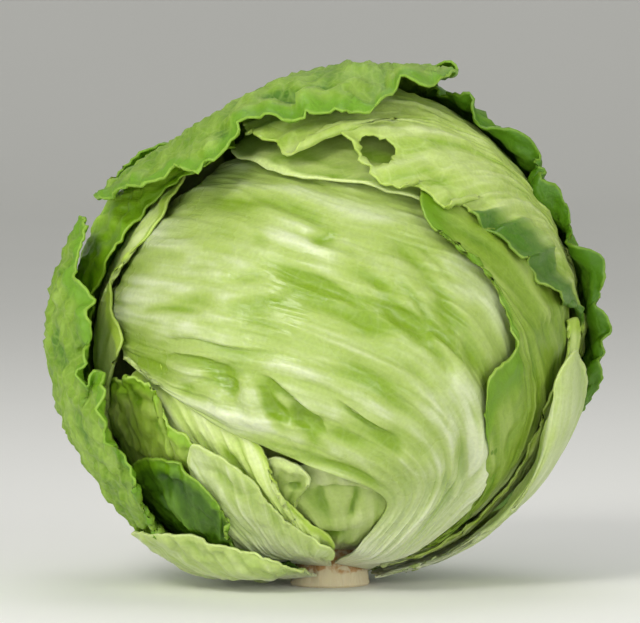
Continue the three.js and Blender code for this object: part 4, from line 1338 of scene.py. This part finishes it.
GREEN_FOLDS = (
    Fold(LEDGE, ((-55, -38), (-54, -42.5), (-53, -47), (-50, -51), (-46.5, -53.5)), 2.4, 4, 7.5),
    Fold(VALLEY, ((-55, -35.5), (-47.5, -37.5), (-44.5, -42.5)), 1.2, 2.4, 7.5),
)
RIB_FOLDS = (
    Fold(VALLEY, ((-35, -30.5), (-30, -37), (-26, -46)), 0.9, 2, 10),
    Fold(RIDGE, ((-33, -35), (-29.5, -44), (-26.5, -54)), 0.9, 3, 10),
    Fold(VALLEY, ((-35, -45.5), (-33, -53.5), (-27.5, -61)), 0.8, 2, 10),
)
UNDER_FOLDS = (
    Fold(LEDGE, ((-36, -23), (-30, -20.5), (-24.5, -22), (-22, -26)), 1.8, 3, 14.2),
    Fold(VALLEY, ((-32, -27), (-28.5, -31), (-25.5, -36.5), (-22.5, -44)), 1.4, 2, 14.2),
    Fold(RIDGE, ((-24, -26.5), (-22.5, -31.5), (-20, -37.5), (-16.5, -45)), 1.2, 2.6, 14.2),
)
INNER_FOLDS = (
    Fold(VALLEY, ((-50.5, -20), (-48.5, -24.5), (-46.5, -30)), 1.2, 2.6, 12.4),
    Fold(RIDGE, ((-46, -23), (-43.5, -27.5), (-42, -33)), 1, 3, 12.4),
    Fold(VALLEY, ((-58, -13.5), (-55, -16), (-52, -19.5)), 1.6, 2.6, 12.4),
)
HEART_FOLDS = (
    Fold(VALLEY, ((8.5, -39.5), (8, -45), (7, -53.5)), 2, 1.2, 15),
    Fold(VALLEY, ((-3.5, -40), (-3, -45.5), (-1.5, -51)), 1.4, 1.4, 15),
    Fold(LEDGE, ((-8, -43), (0, -40.5), (6.5, -40.5), (16, -44)), 1.8, 2.5, 15),
    Fold(VALLEY, ((-13, -56.5), (-7.5, -59.5), (1, -59.5), (8.5, -56)), 1.8, 1.3, 15),
    Fold(RIDGE, ((-11, -51), (-2, -55), (9.5, -51.5), (17, -47.5)), 1.1, 2.5, 15),
)
CURL_FOLDS = (
    Fold(VALLEY, ((-11.5, -39.5), (-11, -42.5)), 1.6, 2.2, 15.6),
    Fold(RIDGE, ((-16, -38), (-12.5, -35.5), (-9, -36.5)), 1, 2, 15.6),
)
TOP_RIGHT_FOLDS = (
    Fold(RIDGE, ((50, 30), (59, 27.5), (64, 24.5), (67.5, 20.5), (69.5, 16), (73.5, 10)), 1.8, 1.8, 6),
    Fold(VALLEY, ((42, 28), (48.5, 25), (53, 20.5), (57, 14.5)), 1.2, 2.4, 6),
    Fold(VALLEY, ((27, 43.5), (34, 40), (39.5, 34.5)), 0.9, 2.6, 6),
)
# Valleys on the crown-under leaf, under the torn hole and under the top right leaf's margin; besides their
# dents, their crease colour paints shade there.
HOLLOW_SHADE_FOLDS = (
    Fold(VALLEY, ((10.5, 60), (17, 55.5), (22.5, 51.5), (26, 47.5)), 1.4, 4, 12),
    Fold(VALLEY, ((-38.5, 52), (-18.5, 48.5), (0, 45.5), (15.5, 41.5), (24.5, 39)), 1, 2.2, 12),
    Fold(VALLEY, ((-30, 54.5), (-12, 53), (5, 48), (18, 44.5)), 0.8, 2, 12),
    Fold(RIDGE, ((-23.5, 51), (-7, 48.5), (6.5, 46)), 0.8, 3, 12),
)
OUTER_FOLDS = (
    Fold(VALLEY, ((-80.5, -0.5), (-74.5, -5), (-70.5, -9.5)), 2, 4, 1.5),
    Fold(RIDGE, ((-81, 15), (-75.5, 9.5), (-81, 3.5)), 1.6, 4, 1.5),
    Fold(VALLEY, ((-70.5, -15.5), (-69, -21), (-69.5, -26.5)), 1.4, 3, 1.5),
)
BACK_FOLDS = (
    Fold(RIDGE, ((-71.5, 28.5), (-70.5, 24.5), (-69.5, 17)), 1.6, 4, 5),
    Fold(VALLEY, ((-78, 33), (-62, 28.5), (-62.5, 22)), 1.6, 3, 5),
    Fold(RIDGE, ((-71, 36), (-57, 31.5), (-58, 24.5)), 1.2, 3, 5),
)


LEAVES = (
    Leaf(
        "heart_leaf_right", Slot.PALE, HEART_PALE, Relief(0.5, 8, 30, 0, 6, 0.15, 0.3, 12, 0.7),
        root=(16, 20, 9.9, 9.6), depth=14, waves=5,
        courses=(
            (
                (-6, -74, 11), (-16, -62, 15), (-4, -54, 13.6), (10, -52, 12.2), (24, -56, 11.8),
                (32, -66, 10.8), (38, -75, 10.2),
            ),
        ),
        edge=(
            (-8, -70, 12.6), (-22, -58, 16.8), (-24, -47, 18), (-14, -38, 18.6), (2, -34, 18.4),
            (18, -37, 18), (28, -43, 17.4), (34, -52, 15.6), (37, -62, 12.8), (38, -70, 11.4),
        ),
        columns=96, rows=48, folds=HEART_FOLDS,
    ),
    Leaf(
        "heart_leaf_left", Slot.PALE, HEART_PALE, Relief(0.5, 6, 26, 0, 6, 0.2, 0.5, 10, 2),
        root=(-20, 12, 12, 8.4), depth=12, waves=4,
        courses=(
            (
                (-30, -73, 13.2), (-32, -60, 15.2), (-24, -52, 15.2), (-18, -54, 14), (-14, -64, 11.4),
                (-10, -74, 9.2),
            ),
        ),
        edge=(
            (-31, -68, 14.4), (-34, -54, 16.4), (-30, -43, 16.8), (-22, -35, 16.8), (-14, -32, 16.4),
            (-8, -34, 16, 0.3, 20), (-6, -38, 15.6, 0.3, 25), (-9, -43, 16.2), (-14, -50, 15.6),
            (-13, -60, 12.4), (-11, -70, 10),
        ),
        columns=96, rows=48, crisp=0.5, flare=0.6, folds=CURL_FOLDS,
    ),
    Leaf(
        "under_leaf", Slot.FRESH, FRESH_PALE, Relief(0.7, 6, 30, 0.2, 6, 0.2, 0.3, 12, 3.3),
        root=(-22, 20, 10.4, 6.5), depth=15, waves=7,
        courses=(
            (
                (-42, -73, 11.6), (-46, -58, 14.9), (-40, -44, 14.8), (-28, -44, 13.8), (-16, -55, 11.6),
                (-6, -66, 9), (-2, -74, 7.3),
            ),
        ),
        edge=(
            (-44, -68, 13.4), (-54, -50, 15.4), (-62, -32, 16), (-66, -16, 17), (-52, -8, 17.2),
            (-36, -12, 17.2), (-24, -22, 16.6), (-18, -30, 15.4), (-17, -37, 14.6), (-15, -44, 14.2),
            (-10, -51, 13), (-4, -56, 11.8), (2, -61, 10.2), (2, -70, 8.4),
        ),
        columns=140, rows=60, folds=UNDER_FOLDS,
    ),
    Leaf(
        "front_wrap", Slot.PALE, CREAM, Relief(1.1, 10, 48, 0.1, 9, 0.2, 0.45, 22, 4.6),
        root=(33, 27, 5.6, 3), depth=16, waves=4,
        courses=(
            ((13, -61, 8.6), (31, -61, 6), (47, -60, 6.4), (62, -60, 10.6)),
            ((19, -46, 12.6), (38, -36, 13.6), (60, -26, 15), (82, -16)),
            ((4, -36, 13.4), (20, -14, 15.4), (44, 12, 16.4), (74, 42, 17.6)),
            ((-17, -28, 13.8), (-14, 2, 15.8), (0, 32, 16.8), (22, 66, 18)),
        ),
        edge=(
            (-53, -10, 14.6), (-72, -2, 15.8), (-90, 20), (-84, 46, 16.6), (-40, 68, 17.8),
        ),
        columns=270, rows=130, crisp=0.3, folds=FRONT_FOLDS,
    ),
    Leaf(
        "crown_under_leaf", Slot.FRESH, HEART_PALE, Relief(0.7, 8, 40, 0.15, 7, 0.2, 0.8, 16, 5.9),
        root=(142, 28, 10.4, 10.4), depth=13.8, waves=9,
        courses=(
            ((120, -73, 11), (108, -36, 14.4), (98, 6), (130, 20), (152, -30), (164, -73, 11)),
        ),
        edge=(
            (120, -64, 11.5), (104, -30), (92, 4), (72, 26), (50, 31, 14.2), (36, 33, 14.2), (24, 38),
            (8, 43), (-14, 46), (-36, 53), (-64, 60), (-120, 72), (170, 66), (166, 28), (164, -24),
            (164, -64, 11.5),
        ),
        columns=130, rows=40, crisp=0.3, folds=HOLLOW_SHADE_FOLDS,
    ),
    Leaf(
        "left_inner_leaf", Slot.FRESH, FRESH_GREEN, Relief(0.6, 6, 30, 0.3, 6, 0.2, 1.4, 11, 7.2),
        root=(-62, 18, 8, 7), depth=12.6, waves=6,
        edge=(
            (-78, -66, 11), (-92, -48, 13.6), (-94, -30, 14.6), (-84, -20, 14.6), (-71, -13, 14),
            (-61, -13, 12.6, 0.6), (-57, -10, 11.8, 0.8, 20), (-51, -9, 11.6, 0.8, 25),
            (-46, -12, 12, 0.6, 15), (-47, -17, 12.6, 0.4), (-43, -23, 12.6, 0.5), (-38, -27, 12.6, 0.4),
            (-36, -36, 12.6), (-38, -50, 11.2), (-44, -66, 8.6),
        ),
        columns=180, rows=56, crisp=1.2, flare=0.7, folds=INNER_FOLDS,
    ),
    Leaf(
        "left_wrap", Slot.FRESH, FRESH_PALE, Relief(0.5, 7, 40, 0.15, 7, 0.2, 0.8, 14, 8.5),
        root=(-114, 24, 7, 7), depth=11.2, waves=9,
        courses=(
            (
                (-137, -75, 7.6), (-138, -48, 11.4), (-134, -16, 12), (-108, 10), (-92, -18),
                (-94, -48, 10.4), (-92, -75, 7.6),
            ),
        ),
        edge=(
            (-136, -66, 9.6), (-150, -30, 11.8), (-152, 20, 11.8), (-120, 56), (-84, 54, 11.4),
            (-68, 40, 12.8), (-66, 33, 13.6), (-67, 26, 13.8), (-74, 19, 13.6), (-79, 14, 13.4),
            (-77, 10, 13.2), (-71, 5, 13.2), (-64, 1, 13.2), (-62, -4, 13), (-66, -9, 12.6),
            (-77, -18, 11.6), (-88, -44, 11), (-96, -66, 9),
        ),
        columns=140, rows=44,
    ),
    Leaf(
        "right_wrap", Slot.FRESH, SHADED, Relief(0.6, 7, 45, 0.15, 7, 0.22, 0.8, 16, 9.8),
        root=(87, 21, 6.6, 8), depth=11, waves=10,
        courses=(
            (
                (68, -75, 6.8), (63, -54, 8.3), (66, -26), (78, 2), (94, -14), (100, -48, 9.6),
                (106, -75, 8),
            ),
        ),
        edge=(
            (67, -70, 7), (64, -58, 8.2), (60, -44, 10), (54, -33, 11.8), (47, -27, 12.4), (41, -21, 12.6),
            (39, -15, 12.4), (39, -10, 12.2), (43, -7, 12), (47, -4, 11.8), (45, 4, 11.8), (42, 12, 12),
            (38, 18, 12.2), (33, 23, 12.4), (27, 28, 12.4), (26, 36, 12.2), (40, 50, 11.6), (60, 60),
            (92, 60), (114, 40), (118, 6), (110, -34), (100, -66, 9),
        ),
        columns=220, rows=58, crisp=0.5, folds=RIGHT_FOLDS,
    ),
    Leaf(
        "left_rib_leaf", Slot.PALE, PALE_RIB, Relief(0.7, 6, 40, 0.15, 7, 0.22, 0.5, 14, 11.1),
        root=(-20, 22, 5, 4.8), depth=9.6, waves=6,
        courses=(
            (
                (-43, -74, 5.4), (-44, -63, 6.3), (-36, -52, 9), (-26, -52, 10), (-12, -62, 7.8),
                (0, -74, 5.6),
            ),
        ),
        edge=(
            (-46, -70, 5.2), (-50, -58, 7.4), (-46, -46, 9.8), (-42, -36, 10.8), (-38, -28, 11),
            (-34, -27, 11), (-28, -31, 11.4), (-22, -38, 12), (-19, -45, 11.8), (-15, -51, 11),
            (-8, -57, 9.4), (1, -61, 8), (2, -70, 6.2),
        ),
        columns=150, rows=58, crisp=0.5, folds=RIB_FOLDS,
    ),
    Leaf(
        "right_slip_leaf", Slot.GREEN, FRESH_PALE, Relief(0.5, 6, 30, 0.25, 6, 0.2, 0.8, 14, 12.4),
        root=(88, 10, 3.6, 4.4), depth=7.8, waves=6,
        courses=(
            (
                (79, -75, 4.2), (76, -58, 5.6), (75, -38, 7.8), (80, -34, 7.6), (87, -44, 7.2),
                (92, -60, 6.2), (97, -75, 4.8),
            ),
        ),
        edge=(
            (74, -70, 4.8), (73, -58, 6.4), (71, -46, 7.8), (69, -34, 9), (68, -26, 9.6), (66, -19, 9.8),
            (68, -13, 9.8), (73, -8, 9.6), (76, -3, 9.4), (76, 2, 9.4), (83, 2, 8.6), (90, -5, 8),
            (93, -16, 7.8), (94, -32, 7.4), (95, -50, 6.8), (96, -68, 5.4),
        ),
        columns=110, rows=36, crisp=0.5,
    ),
    Leaf(
        "left_green_leaf", Slot.GREEN, LUSH, Relief(0.7, 7, 30, 0.35, 6, 0.2, 1, 13, 13.7),
        root=(-51, 19, 4.4, 2.8), depth=7.6, waves=7,
        courses=(
            (
                (-69, -74, 4.8), (-74, -64, 6.4), (-64, -52, 7.4), (-50, -50, 6.6), (-42, -60, 4.5),
                (-32, -74, 3.4),
            ),
        ),
        edge=(
            (-72, -70, 5.4), (-88, -56, 7.8), (-82, -42, 9.4), (-64, -33, 9.6), (-48, -31, 9.6),
            (-40, -34, 9.4), (-35, -40, 9), (-35, -47, 8.2), (-39, -56, 5.9), (-32, -68, 4.2),
        ),
        columns=150, rows=56, crisp=0.8, flare=0.5, folds=GREEN_FOLDS,
    ),
    Leaf(
        "top_right_leaf", Slot.FRESH, CROWN, Relief(0.6, 9, 40, 0.35, 8, 0.2, 0.9, 15, 15),
        root=(118, 20, 3.4, 4.4), depth=6.2, waves=24,
        courses=(
            (
                (98, -74, 3.8), (105, -42, 5.6), (102, -4, 6.2), (96, 16, 7.4), (118, 4, 6.8), (130, -38),
                (134, -73, 4.4),
            ),
            (
                (98, -71, 4.2), (103, -18, 5.8), (78, 27, 9), (62, 58, 7.6), (130, 46), (139, -16),
                (134, -70, 4.8),
            ),
        ),
        edge=(
            (98, -68, 4.4), (104, -46, 5.6), (105, -24, 6), (100, -8, 6), (93, 2, 6.2, 0.6), (84, 5, 7, 0.9),
            (76, 6, 8.6, 1.2), (66, 7, 9.4, 1.4), (61, 10, 9.4, 1.5), (57, 12, 9.4, 1.5), (56, 16, 9.4, 1.5),
            (53, 18, 9.4, 1.5), (49, 18, 9.4, 1.5), (47, 22, 9.4, 1.4), (44, 26, 9.6, 1.2), (41, 26, 9.6, 1),
            (38, 30, 9.6, 1), (38, 32, 9.4, 0.7), (33, 33, 9.2, 0.5), (30, 32, 9.2, 0.5), (28, 36, 9),
            (23, 38, 9), (18, 37, 9), (13, 40, 9), (9, 46, 8.4), (5, 53, 7.6, 0.4), (0, 57, 7, 0.5),
            (-5, 55, 6.8, 0.6), (-10, 51, 7, 0.6), (-14, 47, 7.4, 0.5), (-18, 49, 7.2, 0.6),
            (-23, 52, 7, 0.5), (-34, 55, 6.4), (-50, 62), (-80, 74), (160, 80), (150, 56), (146, 20),
            (142, -30), (134, -66, 5),
        ),
        columns=360, rows=66, crisp=1.7, flare=1, folds=TOP_RIGHT_FOLDS, rim_by_wave=True,
        tear=Tear(16.5, 49, 5.8),
    ),
    Leaf(
        "left_back_leaf", Slot.GREEN, BRIGHT, Relief(0.8, 9, 36, 0.5, 7, 0.2, 1.7, 16, 16.3),
        root=(-142, 24, 4.8, 5), depth=6.4, waves=13,
        courses=(
            (
                (-165, -75, 5.2), (-168, -48), (-168, -12), (-138, 16), (-116, -10, 5.8), (-118, -44, 6.4),
                (-119, -75, 5.2),
            ),
            (
                (-165, -72, 5.4), (-172, -38), (-172, 14), (-140, 50, 5), (-103, 34, 0.6), (-97, 14, 1.8),
                (-109, -16, 5.4), (-120, -71, 5.8),
            ),
        ),
        edge=(
            (-164, -66, 5.6), (-174, -34), (-175, 14), (-168, 54), (-130, 66, 6.8), (-92, 68, 7.8),
            (-62, 63, 9.6), (-50, 57, 11), (-56, 51, 11.6), (-66, 46, 11.6), (-74, 40, 11.4, 0.4),
            (-77, 34, 11.2, 0.5), (-77, 27, 11, 0.5), (-77, 20, 10.8, 0.5), (-80, 14, 10.4, 0.5),
            (-84, 8, 10, 0.4), (-88, 0, 9.2), (-94, -8, 8.4), (-102, -18, 7.6), (-108, -32, 7),
            (-121, -66, 6.2),
        ),
        columns=220, rows=56, crisp=1.3, flare=0.9, folds=BACK_FOLDS,
    ),
    Leaf(
        "right_rib_leaf", Slot.PALE, PALE_RIB, Relief(0.5, 9, 60, 0.1, 8, 0.25, 0.4, 20, 17.6),
        root=(96, 22, 0, 0.4), depth=2, waves=9,
        edge=(
            (74, -70, 1.4), (73, -58, 3.2), (70, -44, 5.2), (67, -33, 6.2), (64, -25, 6.8), (62, -17, 7),
            (62, -11, 6.8), (65, -6, 6.2), (71, -5, 5, 0.6), (80, -10, 3.6, 0.8), (90, -18, 3.4, 0.8),
            (96, -28, 3), (102, -42), (110, -56, 2), (118, -70, 1.2),
        ),
        columns=130, rows=46,
    ),
    Leaf(
        "left_outer_leaf", Slot.GREEN, OUTER, Relief(0.7, 10, 36, 1, 6, 0.2, 1.7, 16, 18.9),
        root=(-94, 26, 3, 3), depth=2.4, waves=16,
        courses=(
            (
                (-120, -75, 3), (-126, -58), (-120, -34, 1.6), (-100, -30, 0.4), (-84, -38, 1.5),
                (-77, -58, 3), (-71, -75, 3),
            ),
            (
                (-121, -71, 2.8), (-136, -48), (-134, -14, 1.4), (-96, -3, -2.4), (-74, -14, -1),
                (-66, -46, 2.6), (-73, -71, 3),
            ),
        ),
        edge=(
            (-120, -66, 2.8), (-140, -44), (-148, -16, 3), (-136, 6, 3, 0.8), (-116, 12, 1.6, 0.8),
            (-100, 13, -1, 0.8), (-94, 19, -1.4, 0.6), (-89, 24.5, -2.8, 0.5), (-80, 25, -2.6, 0.5),
            (-74, 22.5, -2.2, 0.5), (-73, 18, -1.4, 0.6), (-70, 13, -0.6, 0.6), (-63, 8, 0.6, 0.6),
            (-60, 2, 2, 0.5), (-62, -2, 4, 0.4), (-60, -5, 1, 0.4, 10), (-58, -11, 0, 0.4, 20),
            (-56, -8, 1, 0.4), (-52, -10, 0, 0.4, 20), (-51, -16, -0.5, 0.5, 30), (-52, -22, 0.4, 0.5, 20),
            (-54, -27, 2, 0.5), (-52, -32, 1.6, 0.5, 15), (-56, -36, 2.4, 0.5), (-60, -42, 3.2, 0.5),
            (-66, -50, 3.6), (-76, -60, 3.4), (-74, -70, 3),
        ),
        columns=330, rows=66, crisp=1.4, flare=0.9, folds=OUTER_FOLDS,
    ),
    Leaf(
        "right_outer_leaf", Slot.GREEN, DEEP, Relief(0.7, 9, 36, 0.6, 7, 0.2, 1.6, 17, 20.2),
        root=(145, 18, 0.8, 2.2), depth=1.6, waves=20,
        courses=(
            (
                (127, -75, 0.8), (120, -50, 1.2), (108, -20, 1.2), (110, 14, 3.8), (138, 0), (150, -45, 2.2),
                (160, -75, 2.5),
            ),
        ),
        edge=(
            (128, -68, 0.8), (122, -46, 1.2), (111, -28, 0.4, 0.4), (101, -18, 1.4, 0.6, 20),
            (93, -13, 2, 1, 55), (90, -9, 2, 1, 55), (89, -4, 2, 1, 20), (88, 0, 2.2, 1, 55),
            (88, 3, 2.4, 1, 64), (89, 5.5, 3.6, 1, 20), (89, 8, 4, 1, 40), (87, 11, 4, 1.2, 80),
            (87, 14.5, 4, 1.2, 112), (87, 18, 4, 1, 112), (88, 20.5, 5.4, 1, 20), (88, 23, 6, 1, 35),
            (86, 28, 6, 1.2, 46), (84, 34, 6, 1.2, 55), (82, 39, 6, 1.2, 60), (81, 43, 6, 1.2, 65),
            (79, 47, 5, 1.2, 95), (76, 51, 5, 1.2, 45), (74, 56, 4.8, 0.6, 8), (72, 61, 3.6, 0.8, 40),
            (86, 66, 2.6, 0.6), (116, 66), (146, 54, 2), (155, 26, 2.2), (155, -24, 2.2), (157, -66, 3.4),
        ),
        columns=320, rows=62, crisp=1.5, flare=0.9, curl=0.92,
    ),
    Leaf(
        "bottom_left_rib", Slot.PALE, PALE_RIB, Relief(0.7, 7, 40, 0.1, 8, 0.25, 0.9, 14, 21.5),
        root=(-52, 36, -0.8, 1.6), depth=0.2, waves=5,
        edge=(
            (-92, -72, -0.6), (-102, -62, -0.6), (-96, -52, 0.4), (-80, -47, 0.4), (-66, -47, 0.5),
            (-55, -48, 2.4, 0.4), (-46, -51, 4.1, 0.5), (-36, -55, 3.9, 0.4), (-25, -60, 3.8),
            (-16, -68, 2.6),
        ),
        columns=130, rows=42, crisp=0.5,
    ),
    Leaf(
        "top_outer_leaf", Slot.GREEN, OUTER, Relief(0.8, 10, 36, 0.9, 6, 0.2, 1.6, 18, 22.8),
        root=(180, 20, -1, -1), depth=-0.8, waves=22,
        courses=(
            ((157, -75, -1), (159, -36), (160, 20), (178, 54), (-166, 24), (-162, -38), (-158, -75, -1)),
            (
                (155, -71, -1), (157, -20), (152, 34), (100, 80, 0), (-108, 60, 2.6), (-142, 30, -0.2),
                (-156, -22), (-158, -71, -1),
            ),
        ),
        edge=(
            (154, -68, -1.3), (156, -30), (154, 10), (146, 44, -0.8, 0.8), (122, 68, -1.6, 1),
            (97, 68, -3, 0.6), (82, 64, -4.6, 0.3), (66, 63.5, -5.2, 0.3), (52, 62, -5, 0.3),
            (39, 60, -4, 0.4), (34, 63, -3.4, 0.5), (24, 60, -2, 0.6), (15, 55, -1, 0.8), (8, 54, -0.5, 0.8),
            (-3, 55, 0, 0.8), (-17, 54, 0, 0.8), (-30, 52, 0, 1), (-33, 48, 0, 1), (-34, 42, 0, 0.8),
            (-36, 37, 0.4, 0.8), (-41, 37, 0.6, 0.8), (-48, 40, 1, 1), (-54, 38, 0.6, 0.8),
            (-57, 34, 0, 0.6), (-66, 33, -1, 0.6), (-76, 30, -2.4, 0.6), (-87, 29.5, -3, 0.6),
            (-100, 34, -2.4, 0.8), (-124, 46, -1, 1), (-150, 10), (-158, -30), (-158, -68, -1),
        ),
        columns=360, rows=72, crisp=1.3, flare=0.9, folds=CROWN_FOLDS,
    ),
)


@dataclass(frozen=True)
class LettuceHead:
    """The whole head: stem, heart and leaves from the inside out."""

    stem: Stem
    heart: Heart
    leaves: tuple[Leaf, ...]

    def build(self) -> list[bpy.types.Object]:
        """Builds and dresses every piece.

        Returns:
            The pieces, in order.
        """
        tone, relief_tree = LeafTone(), ReliefTree()
        finishes = {self.heart.finish, *(leaf.finish for leaf in self.leaves)}
        materials = {finish.name: finish.material(tone) for finish in sorted(finishes, key=lambda f: f.name)}
        pieces = [self.stem.build(), self.heart.build(relief_tree, materials[self.heart.finish.name])]
        for leaf in self.leaves:
            pieces.append(leaf.build(relief_tree, materials[leaf.finish.name]))
        return pieces


def main() -> None:
    """Builds the studio and the head, and reports each piece."""
    logging.basicConfig(level=logging.INFO, format="%(name)s: %(message)s")
    Studio().build()
    heart = Heart(HEART_YELLOW, Relief(0.5, 7, 40, 0, 8, 0.2, 0.3, 12, 9.1))
    head = LettuceHead(Stem(StemFinish()), heart, LEAVES)
    total = 0
    for piece in head.build():
        faces = sum(len(polygon.vertices) - 2 for polygon in piece.data.polygons)
        total += faces
        LOG.info("%s: %d triangles", piece.name, faces)
    LOG.info("in all: %d triangles", total)


if __name__ == "__main__":
    main()
